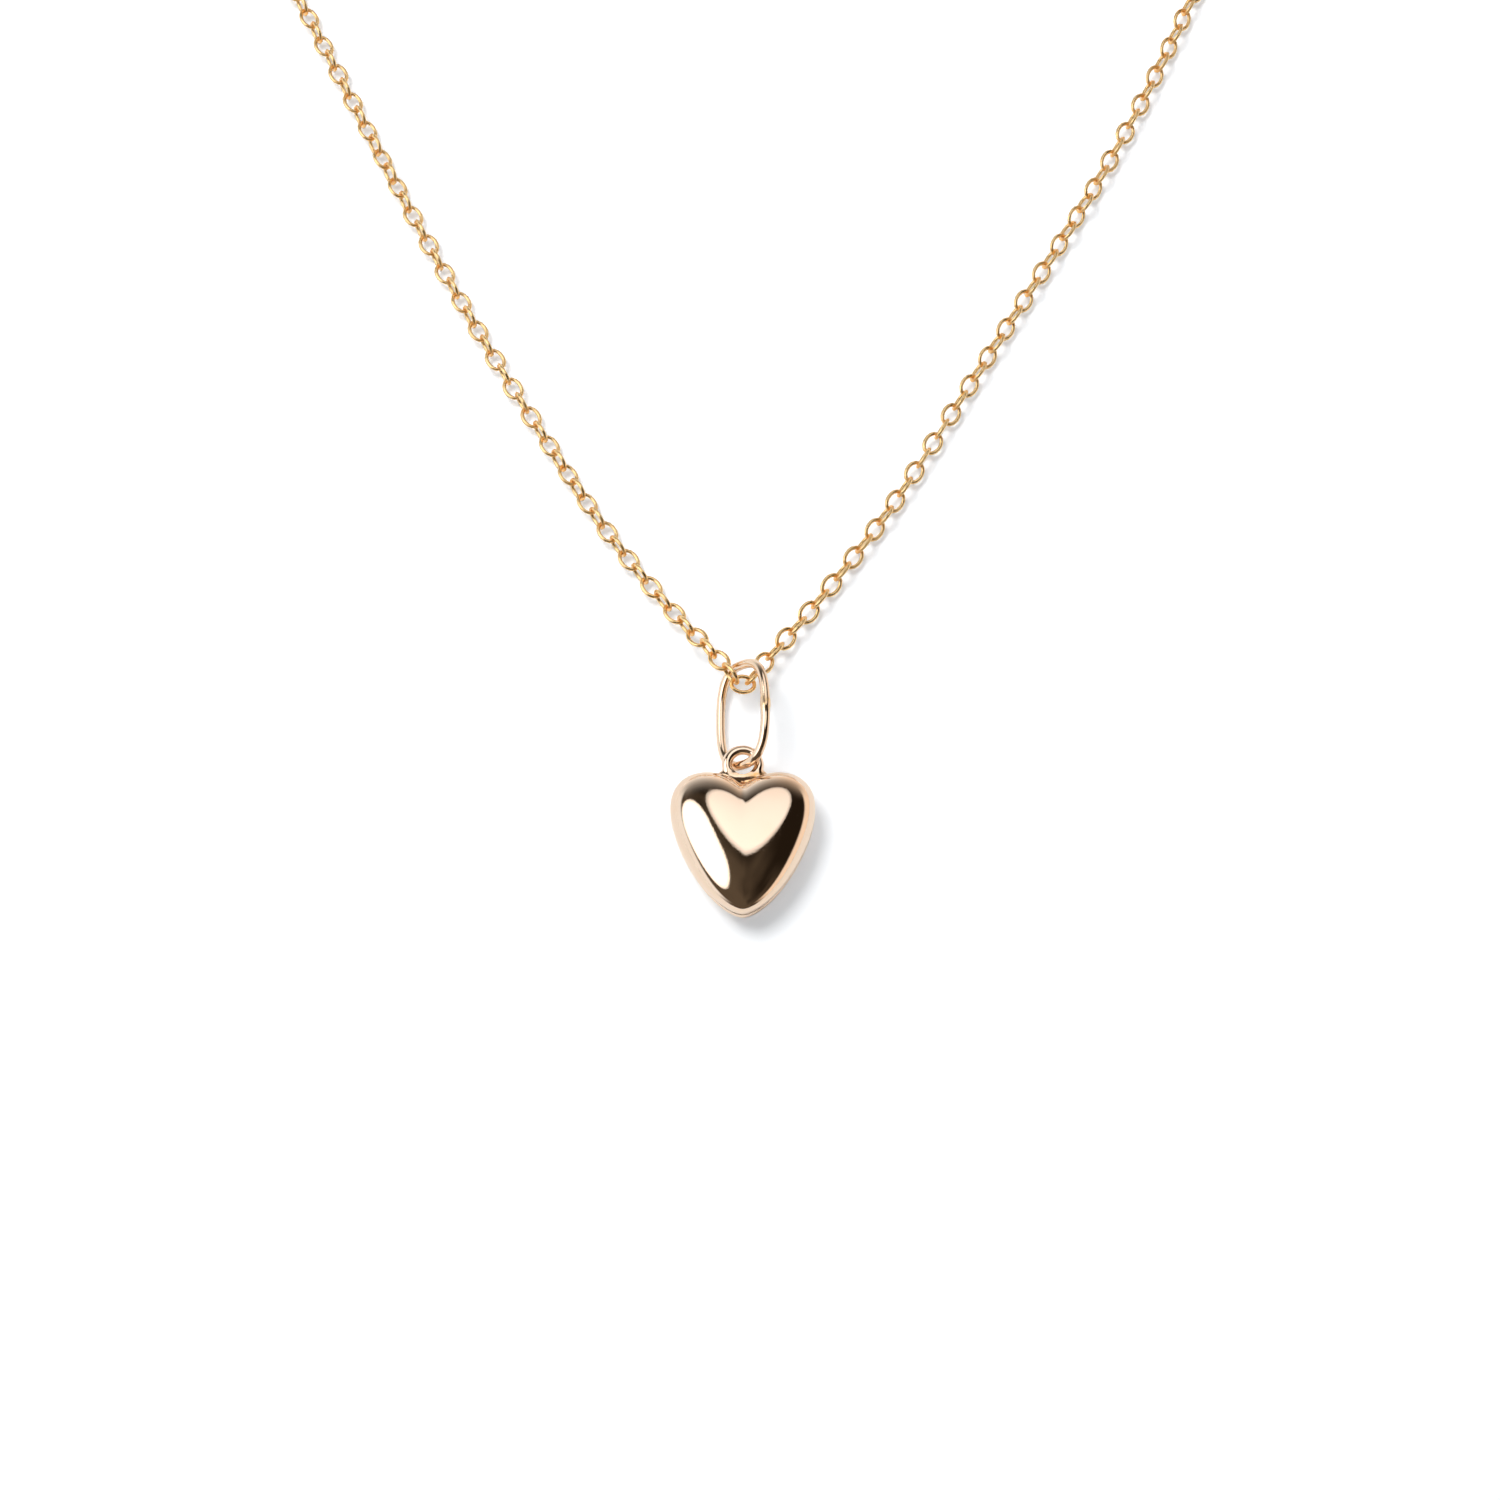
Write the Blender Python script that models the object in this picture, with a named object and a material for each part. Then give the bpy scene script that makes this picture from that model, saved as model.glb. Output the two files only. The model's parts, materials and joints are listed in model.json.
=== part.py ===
"""Pendant necklace: a hollow puffed heart, its bail and an oval cable chain, laid flat.

Frame: +Z up off the table, +Y from the heart towards the chain, +X to the right. The origin is
the centre of the flat land on the heart's back, which rests on the table (z = 0).
"""

import math

import bmesh
import bpy
from mathutils import Matrix, Vector

MM = 0.001
GAP = 0.02 * MM                     # between pieces that are soldered or that just touch

# Heart
HEART_HALF_WIDTH = 4.9 * MM
HEART_HALF_HEIGHT = 4.55 * MM       # half of the way from the tip to the cleft
HEART_SKEW = 0.45 * MM              # the tip lies this much further from the centre
HEART_LOBE_RISE = 2.4 * MM          # how far the shoulders rise over the centre
HEART_HALF_DEPTH = 2.15 * MM
HEART_WALL = 0.3 * MM
HEART_FULLNESS = 0.84               # 1 is an elliptical dome, less is boxier
TIP_FULLNESS = 0.5                  # of the dome alone, right at the tip
CLEFT_POWER = 0.68
TIP_POWER = 1.4
CREASE = 0.04                       # softens the cleft, as a share of the half width
HEART_SEGMENTS = 40
HEART_RINGS = 16
LAND_DEPTH = 0.05 * MM              # cut off the back, which leaves the flat land
SEAM_Z = HEART_HALF_DEPTH - LAND_DEPTH

# Eyelet in the cleft
EYELET_CENTRE = Vector((0.0, 5.52, 2.1)) * MM
EYELET_RADIUS = 1.08 * MM
EYELET_POINTS = 24
EYELET_WIRE = 0.345 * MM            # radius of the wire, here and below
FOOT_CENTRE = Vector((0.0, 4.75, 2.1)) * MM
FOOT_RADII = Vector((1.75, 0.62, 0.42)) * MM

# Bail
BAIL_CENTRE = Vector((0.0, 9.135, 2.1)) * MM
BAIL_HALF_LENGTH = 3.585 * MM
BAIL_HALF_WIDTH = 2.15 * MM
BAIL_SQUARENESS = 2.7               # 2 is an ellipse, more has straighter limbs
BAIL_WIRE = 0.325 * MM
BAIL_LEAN = math.radians(45)        # the right limb stands up off the table
BAIL_POINTS = 36
BAIL_FOOT = BAIL_CENTRE - Vector((0.0, BAIL_HALF_LENGTH, 0.0))
BAIL_PIVOT = Vector((0.0, 11.85, 2.1)) * MM         # where the bail bears on the chain

# Chain
PITCH = 1.28 * MM
LINK_WIRE = 0.145 * MM
LINK_HALF_WIDTH = 0.565 * MM        # of the wire's centreline
LINK_HALF_LENGTH = PITCH / 2 + LINK_WIRE + GAP / 2
LINK_POINTS = 12
LINK_OVERHANG = LINK_HALF_LENGTH - PITCH / 2 + LINK_WIRE   # past the joint with its neighbour
NEAR_LINKS = 8                      # real links on each side of the bail
CHAIN_RADIUS = 0.7 * MM
STRAND_POINTS = 20
SPACING_SLACK = 0.9999              # keeps the last point from being lost to rounding
TAIL_STEPS = 4
CHAIN_Z = 0.72 * MM
LEFT_ROLL = math.radians(10)
RIGHT_ROLL = math.radians(25)
CENTRE_LINK = (Vector((-0.64, 11.3, 2.2)) * MM, Vector((0.64, 11.3, 2.0)) * MM)   # its joints
LEFT_ROUTE = (
    (-0.46, 11.53, 2.24), (-1.28, 12.62, 2.2), (-2.1, 13.68, 1.9), (-3.0, 14.8, 1.42),
    (-4.15, 16.2, 0.97), (-5.5, 17.85, 0.75), (-7.8, 20.75, 0.72), (-10.7, 24.85, 0.72),
    (-15.6, 32.8, 0.72), (-19.2, 39.0, 0.72), (-22.9, 45.8, 0.72), (-26.4, 52.6, 0.72),
    (-29.7, 59.2, 0.72), (-32.5, 64.8, 0.72),
)
RIGHT_ROUTE = (
    (0.4, 11.52, 2.02), (1.13, 12.62, 1.68), (1.93, 13.7, 1.25), (3.2, 15.35, 0.86),
    (4.8, 17.35, 0.72), (7.95, 21.5, 0.72), (11.0, 25.9, 0.72), (15.3, 33.0, 0.72),
    (19.8, 40.4, 0.72), (24.5, 48.3, 0.72), (28.2, 55.1, 0.72), (31.4, 61.7, 0.72),
    (32.8, 64.9, 0.72),
)

# Coils of spare chain, two turns wide and two high
COIL_CENTRE = Vector((29.7, 75.5, 0.0)) * MM        # of the right one; the left one mirrors it
COIL_RADIUS = 7.25 * MM
COIL_LANE = 1.5 * MM                # between neighbouring turns
COIL_LEVEL = 1.48 * MM              # between the two layers
COIL_TURNS = 3.4
COIL_POINTS = 36
COIL_ROUNDING = 0.55                # share of each side that stays flat in the coil's section
TAIL_START = 4.8 * MM               # along the tangent from where the chain leaves the coil
TAIL_END = 10.4 * MM

# Rings at the chain's ends
JUMP_RADIUS = 1.1 * MM
END_RING_RADIUS = 1.3 * MM
RING_WIRE = 0.2 * MM
RING_LEAN = math.radians(30)
RING_POINTS = 20
RING_CLEARANCE = 0.27 * MM          # between a ring and the link that it leans through

# Spring-ring clasp; angles run anticlockwise from the direction that the tail points in
CLASP_RADIUS = 2.15 * MM
CLASP_TUBE = 0.6 * MM
CLASP_BORE = 0.42 * MM
CLASP_Z = 0.62 * MM
EYE_RADIUS = 0.72 * MM
EYE_WIRE = 0.17 * MM
OPENING = (30, 80)                  # degrees
BOLT_TIP = 24
BOLT_TAIL = 112
BOLT_RADIUS = 0.38 * MM
BOLT_TRAVEL = 50
KNOB_ANGLE = 92
KNOB_PIN = 0.13 * MM
KNOB_RADIUS = 0.28 * MM
KNOB_REACH = 0.95 * MM              # from the tube's centreline
SLOT_HALF_WIDTH = 0.18 * MM
SLOT_MARGIN = 5                     # degrees
SPRING_STOP = 205
SOCKET_DEPTH = 9                    # degrees
SPRING_RADIUS = 0.31 * MM
SPRING_WIRE = 0.06 * MM
SPRING_TURNS = 10
SPRING_POINTS_PER_TURN = 8
SPRING_CLEARANCE = 2.5              # degrees, at each of its ends

GOLD_ROSE = (0.83, 0.60, 0.42)
GOLD_YELLOW = (0.90, 0.62, 0.28)
STEEL = (0.62, 0.61, 0.60)


def clear_scene():
    """Remove whatever the file holds, so each run starts from nothing."""
    for item in list(bpy.data.objects):
        bpy.data.objects.remove(item)


def new_collection(name):
    """A new collection in the scene."""
    collection = bpy.data.collections.new(name)
    bpy.context.scene.collection.children.link(collection)
    return collection


def metal(name, colour, roughness):
    """A plain metal of one colour."""
    material = bpy.data.materials.new(name)
    material.use_nodes = True
    shader = material.node_tree.nodes["Principled BSDF"]
    shader.inputs["Base Color"].default_value = (*colour, 1.0)
    shader.inputs["Metallic"].default_value = 1.0
    shader.inputs["Roughness"].default_value = roughness
    return material


def add_object(name, data, collection, matrix=Matrix(), material=None, parent=None):
    """Link a new object; matrix is its place in the world, parented or not."""
    item = bpy.data.objects.new(name, data)
    collection.objects.link(item)
    if parent is not None:
        item.parent = parent
        item.matrix_parent_inverse = parent.matrix_world.inverted()
    item.matrix_world = matrix
    if material is not None:
        data.materials.clear()
        data.materials.append(material)
    bpy.context.view_layer.update()
    return item


def add_axis(name, collection, matrix, parent=None):
    """An empty whose origin lies on a joint's axis."""
    axis = add_object(name, None, collection, matrix, parent=parent)
    axis.empty_display_size = 1 * MM
    return axis


def wire_curve(name, points, radius, resolution, closed=False):
    """A round wire along a polyline."""
    curve = bpy.data.curves.new(name, "CURVE")
    curve.dimensions = "3D"
    curve.bevel_depth = radius
    curve.bevel_resolution = resolution
    curve.use_fill_caps = True
    spline = curve.splines.new("POLY")
    spline.points.add(len(points) - 1)
    for knot, point in zip(spline.points, points):
        knot.co = (*point, 1.0)
    spline.use_cyclic_u = closed
    return curve


def oval(half_length, half_width, count, squareness=2.0):
    """Points of an oval in the XY plane, long way along X."""
    points = []
    for step in range(count):
        across = math.cos(2 * math.pi * step / count)
        along = math.sin(2 * math.pi * step / count)
        points.append(Vector((
            half_length * math.copysign(abs(across) ** (2 / squareness), across),
            half_width * math.copysign(abs(along) ** (2 / squareness), along),
            0.0,
        )))
    return points


def arc(radius, start, end, count):
    """Points on an arc about Z; the angles are in degrees."""
    angles = [math.radians(start + (end - start) * step / (count - 1)) for step in range(count)]
    return [Vector((radius * math.cos(a), radius * math.sin(a), 0.0)) for a in angles]


def solid_from_curve(name, curve):
    """Turn a wire into a closed mesh, with its caps welded on."""
    item = bpy.data.objects.new(name, curve)
    bpy.context.scene.collection.objects.link(item)
    graph = bpy.context.evaluated_depsgraph_get()
    mesh = bpy.data.meshes.new_from_object(item.evaluated_get(graph))
    bpy.data.objects.remove(item)
    shape = bmesh.new()
    shape.from_mesh(mesh)
    bmesh.ops.remove_doubles(shape, verts=shape.verts, dist=0.001 * MM)
    bmesh.ops.recalc_face_normals(shape, faces=shape.faces)
    shape.to_mesh(mesh)
    shape.free()
    mesh.name = name
    return mesh


def combine(item, operation, cutter):
    """Apply an exact Boolean of a cutter object to a mesh object."""
    modifier = item.modifiers.new(cutter.name, "BOOLEAN")
    modifier.operation = operation
    modifier.solver = "EXACT"
    modifier.object = cutter
    cutter.hide_render = True
    cutter.display_type = "WIRE"


def smooth_route(points, steps=24):
    """A Catmull-Rom curve through the route's points, as closely spaced points in metres."""
    knots = [Vector(point) * MM for point in points]
    knots = [2 * knots[0] - knots[1]] + knots + [2 * knots[-1] - knots[-2]]
    dense = []
    for before, start, end, after in zip(knots, knots[1:], knots[2:], knots[3:]):
        for step in range(steps):
            t = step / steps
            dense.append(0.5 * (2 * start + (end - before) * t
                                + (2 * before - 5 * start + 4 * end - after) * t * t
                                + (3 * start - before - 3 * end + after) * t * t * t))
    dense.append(knots[-2])
    return dense


def resample(points, start, spacing, count=None):
    """Points at even distances along a polyline, from the distance start on."""
    found = []
    target = start
    travelled = 0.0
    for before, after in zip(points, points[1:]):
        length = (after - before).length
        while travelled + length >= target and (count is None or len(found) < count):
            found.append(before.lerp(after, (target - travelled) / length))
            target += spacing
        travelled += length
    return found


# --- heart ---------------------------------------------------------------------------------


def heart_point(x, y, z, grow):
    """Where a point of the unit sphere goes on the puffed heart, grown by a distance."""
    planar = math.hypot(x, y)
    spread = planar ** (HEART_FULLNESS - 1) if planar > 0 else 0.0
    u = x * spread
    v = y * spread
    fullness = HEART_FULLNESS + (TIP_FULLNESS - HEART_FULLNESS) * max(-v, 0.0) ** 4
    w = math.copysign(abs(z) ** fullness, z)
    power = CLEFT_POWER + (TIP_POWER - CLEFT_POWER) * (1 - v) / 2
    floor = CREASE ** power
    lift = (math.hypot(u, CREASE) ** power - floor) / (1 - floor)
    return Vector((
        (HEART_HALF_WIDTH + grow) * u,
        (HEART_HALF_HEIGHT + grow) * v - HEART_SKEW * v * v + HEART_LOBE_RISE * lift,
        SEAM_Z + (HEART_HALF_DEPTH + grow) * w,
    ))


def heart_mesh(name, grow, land=0.0):
    """A closed puffed heart; land is the height that its flat back lies at."""
    shape = bmesh.new()
    bmesh.ops.create_uvsphere(shape, u_segments=HEART_SEGMENTS, v_segments=HEART_RINGS, radius=1.0)
    for vert in shape.verts:
        vert.co = heart_point(*vert.co, grow)
        vert.co.z = max(vert.co.z, land)
    mesh = bpy.data.meshes.new(name)
    shape.to_mesh(mesh)
    shape.free()
    return mesh


def half_of(mesh, height, keep_above):
    """Cut a closed mesh level at a height and cap it."""
    shape = bmesh.new()
    shape.from_mesh(mesh)
    everything = shape.verts[:] + shape.edges[:] + shape.faces[:]
    cut = bmesh.ops.bisect_plane(shape, geom=everything, dist=0.001 * MM, plane_co=(0, 0, height),
                                 plane_no=(0, 0, 1), clear_inner=keep_above,
                                 clear_outer=not keep_above)
    rim = [part for part in cut["geom_cut"] if isinstance(part, bmesh.types.BMEdge)]
    bmesh.ops.contextual_create(shape, geom=rim)
    bmesh.ops.recalc_face_normals(shape, faces=shape.faces)
    shape.to_mesh(mesh)
    shape.free()


def build_heart(model, cutters, axis, gold):
    """Two stamped shells that meet at the seam, and the hollow between them."""
    hollow = add_object("heart_hollow", heart_mesh("heart_hollow", -HEART_WALL, HEART_WALL), cutters)
    origin = axis.matrix_world.translation
    for name, height, above in (("heart_front_shell", SEAM_Z + GAP / 2, True),
                                ("heart_back_shell", SEAM_Z - GAP / 2, False)):
        mesh = heart_mesh(name, 0.0)
        half_of(mesh, height, above)
        mesh.transform(Matrix.Translation(-origin))
        shell = add_object(name, mesh, model, Matrix.Translation(origin), gold, axis)
        combine(shell, "DIFFERENCE", hollow)
        mesh.shade_smooth()
        mesh.set_sharp_from_angle(angle=math.radians(50))


def build_eyelet(model, cutters, axis, gold):
    """A wire ring soldered into the cleft, with solder flaring out over both shoulders."""
    circle = oval(EYELET_RADIUS, EYELET_RADIUS, EYELET_POINTS)
    ring = wire_curve("heart_eyelet", circle, EYELET_WIRE, 2, True)
    eyelet = add_object("heart_eyelet", solid_from_curve("heart_eyelet", ring), model,
                        Matrix.Translation(EYELET_CENTRE), gold, axis)
    shape = bmesh.new()
    bmesh.ops.create_uvsphere(shape, u_segments=20, v_segments=10, radius=1.0)
    bmesh.ops.scale(shape, vec=FOOT_RADII, verts=shape.verts)
    foot_mesh = bpy.data.meshes.new("solder_foot")
    shape.to_mesh(foot_mesh)
    shape.free()
    foot = add_object("solder_foot", foot_mesh, cutters, Matrix.Translation(FOOT_CENTRE))
    shape = bmesh.new()
    bmesh.ops.create_cone(shape, cap_ends=True, segments=20, depth=2 * EYELET_RADIUS,
                          radius1=EYELET_RADIUS - EYELET_WIRE, radius2=EYELET_RADIUS - EYELET_WIRE)
    hole_mesh = bpy.data.meshes.new("eyelet_hole")
    shape.to_mesh(hole_mesh)
    shape.free()
    hole = add_object("eyelet_hole", hole_mesh, cutters, Matrix.Translation(EYELET_CENTRE))
    cradle = add_object("cleft_cradle", heart_mesh("cleft_cradle", GAP), cutters)
    combine(eyelet, "UNION", foot)
    combine(eyelet, "DIFFERENCE", hole)
    combine(eyelet, "DIFFERENCE", cradle)


def build_bail(model, axis, gold):
    """The oval ring that the chain runs through, leaning so that its right limb is up."""
    lean = Matrix.Rotation(-BAIL_LEAN, 4, "Y")
    points = oval(BAIL_HALF_WIDTH, BAIL_HALF_LENGTH, BAIL_POINTS, BAIL_SQUARENESS)
    origin = axis.matrix_world.translation
    shift = BAIL_CENTRE - origin
    curve = wire_curve("bail_ring", [lean @ p + shift for p in points], BAIL_WIRE, 2, True)
    add_object("bail_ring", curve, model, Matrix.Translation(origin), gold, axis)


# --- chain ---------------------------------------------------------------------------------


def link_matrix(start, end, roll):
    """A link's place, from its two joints and its roll about the line between them."""
    along = (end - start).normalized()
    side = Vector((0, 0, 1)).cross(along).normalized()
    up = along.cross(side)
    turn = Matrix((along, side, up)).transposed().to_4x4()
    return Matrix.Translation((start + end) / 2) @ turn @ Matrix.Rotation(roll, 4, "X")


def link_curve(name):
    """One oval link, lying in the XY plane, long way along X."""
    return wire_curve(name, oval(LINK_HALF_LENGTH, LINK_HALF_WIDTH, LINK_POINTS), LINK_WIRE, 1, True)


def build_near_links(side, route, roll, model, gold):
    """The links beside the bail, each turned a quarter turn on from the last one."""
    joints = resample(smooth_route(route), 0.0, PITCH, NEAR_LINKS + 1)
    for number, (start, end) in enumerate(zip(joints, joints[1:]), start=1):
        turn = roll + math.pi / 2 * (number % 2)
        name = f"link_{side}_{number:02d}"
        add_object(name, link_curve(name), model, link_matrix(start, end, turn), gold)


def tangent_angle(centre, radius, outside, turn):
    """The angle at which a line from outside meets a circle that is wound anticlockwise (turn 1)."""
    offset = Vector((outside.x - centre.x, outside.y - centre.y, 0.0))
    swing = math.acos(radius / offset.length)
    return math.atan2(offset.y, offset.x) + turn * swing


def coil_exit(side, last):
    """Where the chain leaves its coil, and the direction that it leaves in."""
    sign = 1 if side == "right" else -1
    centre = Vector((sign * COIL_CENTRE.x, COIL_CENTRE.y, 0.0))
    outer = COIL_RADIUS + COIL_LANE / 2
    entry = tangent_angle(centre, outer, last, sign)
    angle = entry + sign * 2 * math.pi * COIL_TURNS
    spoke = Vector((math.cos(angle), math.sin(angle), 0.0))
    heading = Vector((-spoke.y, spoke.x, 0.0)) * sign
    entry_spoke = Vector((math.cos(entry), math.sin(entry), 0.0))
    return centre, centre + entry_spoke * outer, centre + spoke * outer, heading


def build_strand(side, route, model, gold):
    """One side of the chain: its laid strand, its coil and the tail that leaves the coil."""
    last = Vector(route[-1]) * MM
    centre, entry, leave, heading = coil_exit(side, last)
    entry.z = CHAIN_Z
    dense = smooth_route(route) + [last.lerp(entry, step / 12) for step in range(1, 13)]
    start = NEAR_LINKS * PITCH + LINK_OVERHANG + GAP
    length = sum((b - a).length for a, b in zip(dense, dense[1:]))
    end = length - TAIL_START
    spacing = (end - start) / (STRAND_POINTS - 1) * SPACING_SLACK
    points = resample(dense, start, spacing, STRAND_POINTS)
    name = f"chain_{side}_strand"
    add_object(name, wire_curve(name, points, CHAIN_RADIUS, 2), model, material=gold)

    name = f"chain_{side}_coil"
    add_object(name, coil_mesh(name), model, Matrix.Translation(centre), gold)

    name = f"chain_{side}_tail"
    tail = []
    for step in range(TAIL_STEPS + 1):
        reach = TAIL_START + (TAIL_END - TAIL_START) * step / TAIL_STEPS
        drop = min(reach / TAIL_END, 1.0)
        height = CHAIN_Z + COIL_LEVEL * (0.5 + 0.5 * math.cos(math.pi * drop))
        tail.append(leave + heading * reach + Vector((0.0, 0.0, height)))
    add_object(name, wire_curve(name, tail, CHAIN_RADIUS, 2), model, material=gold)
    finish = tail[-1]
    finish.z = CHAIN_Z
    return finish, heading


def coil_mesh(name):
    """The outer shape of a coil: a ring with a rounded square section."""
    half = COIL_LANE / 2 + CHAIN_RADIUS
    height = COIL_LEVEL / 2 + CHAIN_RADIUS
    shape = bmesh.new()
    corners = []
    for x, z in ((1, -COIL_ROUNDING), (1, COIL_ROUNDING), (COIL_ROUNDING, 1), (-COIL_ROUNDING, 1),
                 (-1, COIL_ROUNDING), (-1, -COIL_ROUNDING), (-COIL_ROUNDING, -1), (COIL_ROUNDING, -1)):
        place = (COIL_RADIUS + half * x, 0.0, CHAIN_Z + COIL_LEVEL / 2 + height * z)
        corners.append(shape.verts.new(place))
    profile = [shape.edges.new((a, b)) for a, b in zip(corners, corners[1:] + corners[:1])]
    bmesh.ops.spin(shape, geom=corners + profile, cent=(0, 0, 0), axis=(0, 0, 1),
                   angle=2 * math.pi, steps=COIL_POINTS, use_merge=True, use_duplicate=False)
    bmesh.ops.remove_doubles(shape, verts=shape.verts, dist=0.001 * MM)
    bmesh.ops.recalc_face_normals(shape, faces=shape.faces)
    mesh = bpy.data.meshes.new(name)
    shape.to_mesh(mesh)
    shape.free()
    return mesh


# --- chain ends ----------------------------------------------------------------------------


def build_end_link(side, finish, heading, model, gold):
    """The last link of a strand, lying flat; returns where a ring passes through it."""
    start = finish + heading * (LINK_OVERHANG + GAP)
    end = start + heading * PITCH
    name = f"link_{side}_end"
    add_object(name, link_curve(name), model, link_matrix(start, end, 0.0), gold)
    return (start + end) / 2 + heading * (LINK_HALF_LENGTH - LINK_WIRE - RING_WIRE - RING_CLEARANCE)


def build_ring(name, crossing, heading, radius, model, gold):
    """A leaning round ring through the last link; returns its centre, its up and its axis."""
    height = RING_WIRE + GAP + radius * math.cos(RING_LEAN)
    side = Vector((-heading.y, heading.x, 0.0))
    up = Vector((0, 0, math.cos(RING_LEAN))) + side * math.sin(RING_LEAN)
    rise = (height - crossing.z) / math.cos(RING_LEAN)
    reach = math.sqrt(radius ** 2 - rise ** 2)
    centre = crossing + heading * reach + up * rise
    normal = heading.cross(up)
    turn = Matrix((heading, up, normal)).transposed().to_4x4()
    place = Matrix.Translation(crossing)
    axis = add_axis(name + "_axis", model, place)
    offset = Matrix.Translation(centre - crossing) @ turn
    points = [offset @ point for point in oval(radius, radius, RING_POINTS)]
    add_object(name, wire_curve(name, points, RING_WIRE, 1, True), model, place, gold, axis)
    return axis, centre, up


def sector(name, inner, outer, half_height, start, end, steps):
    """A block swept about Z between two angles in degrees."""
    shape = bmesh.new()
    corners = [shape.verts.new((inner, 0, -half_height)), shape.verts.new((outer, 0, -half_height)),
               shape.verts.new((outer, 0, half_height)), shape.verts.new((inner, 0, half_height))]
    face = shape.faces.new(corners)
    bmesh.ops.rotate(shape, verts=corners, cent=(0, 0, 0),
                     matrix=Matrix.Rotation(math.radians(start), 3, "Z"))
    bmesh.ops.spin(shape, geom=[face] + face.edges[:] + corners, cent=(0, 0, 0), axis=(0, 0, 1),
                   angle=math.radians(end - start), steps=steps, use_duplicate=False)
    bmesh.ops.remove_doubles(shape, verts=shape.verts, dist=0.001 * MM)
    bmesh.ops.recalc_face_normals(shape, faces=shape.faces)
    mesh = bpy.data.meshes.new(name)
    shape.to_mesh(mesh)
    shape.free()
    return mesh


def build_clasp(jump_axis, jump_centre, up, heading, model, cutters, gold, steel):
    """The spring-ring clasp: hollow tube, eye, sliding bolt with its knob, and spring."""
    rise = (jump_centre.z - CLASP_Z) / math.cos(RING_LEAN)
    reach = math.sqrt(JUMP_RADIUS ** 2 - rise ** 2)
    eye_centre = jump_centre - up * rise + heading * reach
    eye_offset = CLASP_RADIUS + CLASP_TUBE + EYE_RADIUS + EYE_WIRE + GAP
    clasp_centre = eye_centre + heading * eye_offset
    facing = Matrix.Rotation(math.atan2(heading.y, heading.x), 4, "Z")
    place = Matrix.Translation(clasp_centre) @ facing
    swivel = add_axis("clasp_axis", model, Matrix.Translation(jump_centre), jump_axis)

    eye_place = Matrix.Translation(eye_centre)
    eye = wire_curve("clasp_eye", oval(EYE_RADIUS, EYE_RADIUS, 16), EYE_WIRE, 1, True)
    add_object("clasp_eye", eye, model, eye_place, gold, swivel)

    tube_arc = arc(CLASP_RADIUS, OPENING[1], OPENING[0] + 360, 35)
    tube_mesh = solid_from_curve("clasp_tube", wire_curve("clasp_tube", tube_arc, CLASP_TUBE, 3))
    tube = add_object("clasp_tube", tube_mesh, model, place, gold, swivel)
    bores = (("clasp_bore", OPENING[1] - 10, SPRING_STOP, 20),
             ("clasp_socket", OPENING[0] - SOCKET_DEPTH, OPENING[0] + 10, 4))
    for name, start, end, count in bores:
        path = arc(CLASP_RADIUS, start, end, count)
        bore = add_object(name, solid_from_curve(name, wire_curve(name, path, CLASP_BORE, 3)),
                          cutters, place)
        combine(tube, "DIFFERENCE", bore)
    slot_mesh = sector("knob_slot", CLASP_RADIUS + CLASP_BORE / 3, CLASP_RADIUS + 2 * CLASP_TUBE,
                       SLOT_HALF_WIDTH, KNOB_ANGLE - SLOT_MARGIN,
                       KNOB_ANGLE + BOLT_TRAVEL + SLOT_MARGIN, 8)
    combine(tube, "DIFFERENCE", add_object("knob_slot", slot_mesh, cutters, place))

    rod = wire_curve("clasp_bolt", arc(CLASP_RADIUS, BOLT_TIP, BOLT_TAIL, 12), BOLT_RADIUS, 3)
    bolt = add_object("clasp_bolt", solid_from_curve("clasp_bolt", rod), model, place, gold, swivel)
    spoke = Matrix.Rotation(math.radians(KNOB_ANGLE), 4, "Z")
    pin_path = [spoke @ Vector((CLASP_RADIUS + BOLT_RADIUS / 2, 0, 0)),
                spoke @ Vector((CLASP_RADIUS + KNOB_REACH, 0, 0))]
    pin_mesh = solid_from_curve("knob_pin", wire_curve("knob_pin", pin_path, KNOB_PIN, 2))
    combine(bolt, "UNION", add_object("knob_pin", pin_mesh, cutters, place))
    shape = bmesh.new()
    bmesh.ops.create_uvsphere(shape, u_segments=10, v_segments=6, radius=KNOB_RADIUS)
    knob_mesh = bpy.data.meshes.new("knob")
    shape.to_mesh(knob_mesh)
    shape.free()
    knob_place = place @ spoke @ Matrix.Translation((CLASP_RADIUS + KNOB_REACH, 0, 0))
    combine(bolt, "UNION", add_object("knob", knob_mesh, cutters, knob_place))

    start = BOLT_TAIL + SPRING_CLEARANCE
    sweep = SPRING_STOP - SPRING_CLEARANCE - start
    coil = []
    for step in range(SPRING_TURNS * SPRING_POINTS_PER_TURN + 1):
        share = step / (SPRING_TURNS * SPRING_POINTS_PER_TURN)
        along = math.radians(start + sweep * share)
        around = 2 * math.pi * SPRING_TURNS * share
        radius = CLASP_RADIUS + SPRING_RADIUS * math.cos(around)
        coil.append(Vector((radius * math.cos(along), radius * math.sin(along),
                            SPRING_RADIUS * math.sin(around))))
    spring = wire_curve("clasp_spring", coil, SPRING_WIRE, 1)
    add_object("clasp_spring", spring, model, place, steel, swivel)


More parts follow.
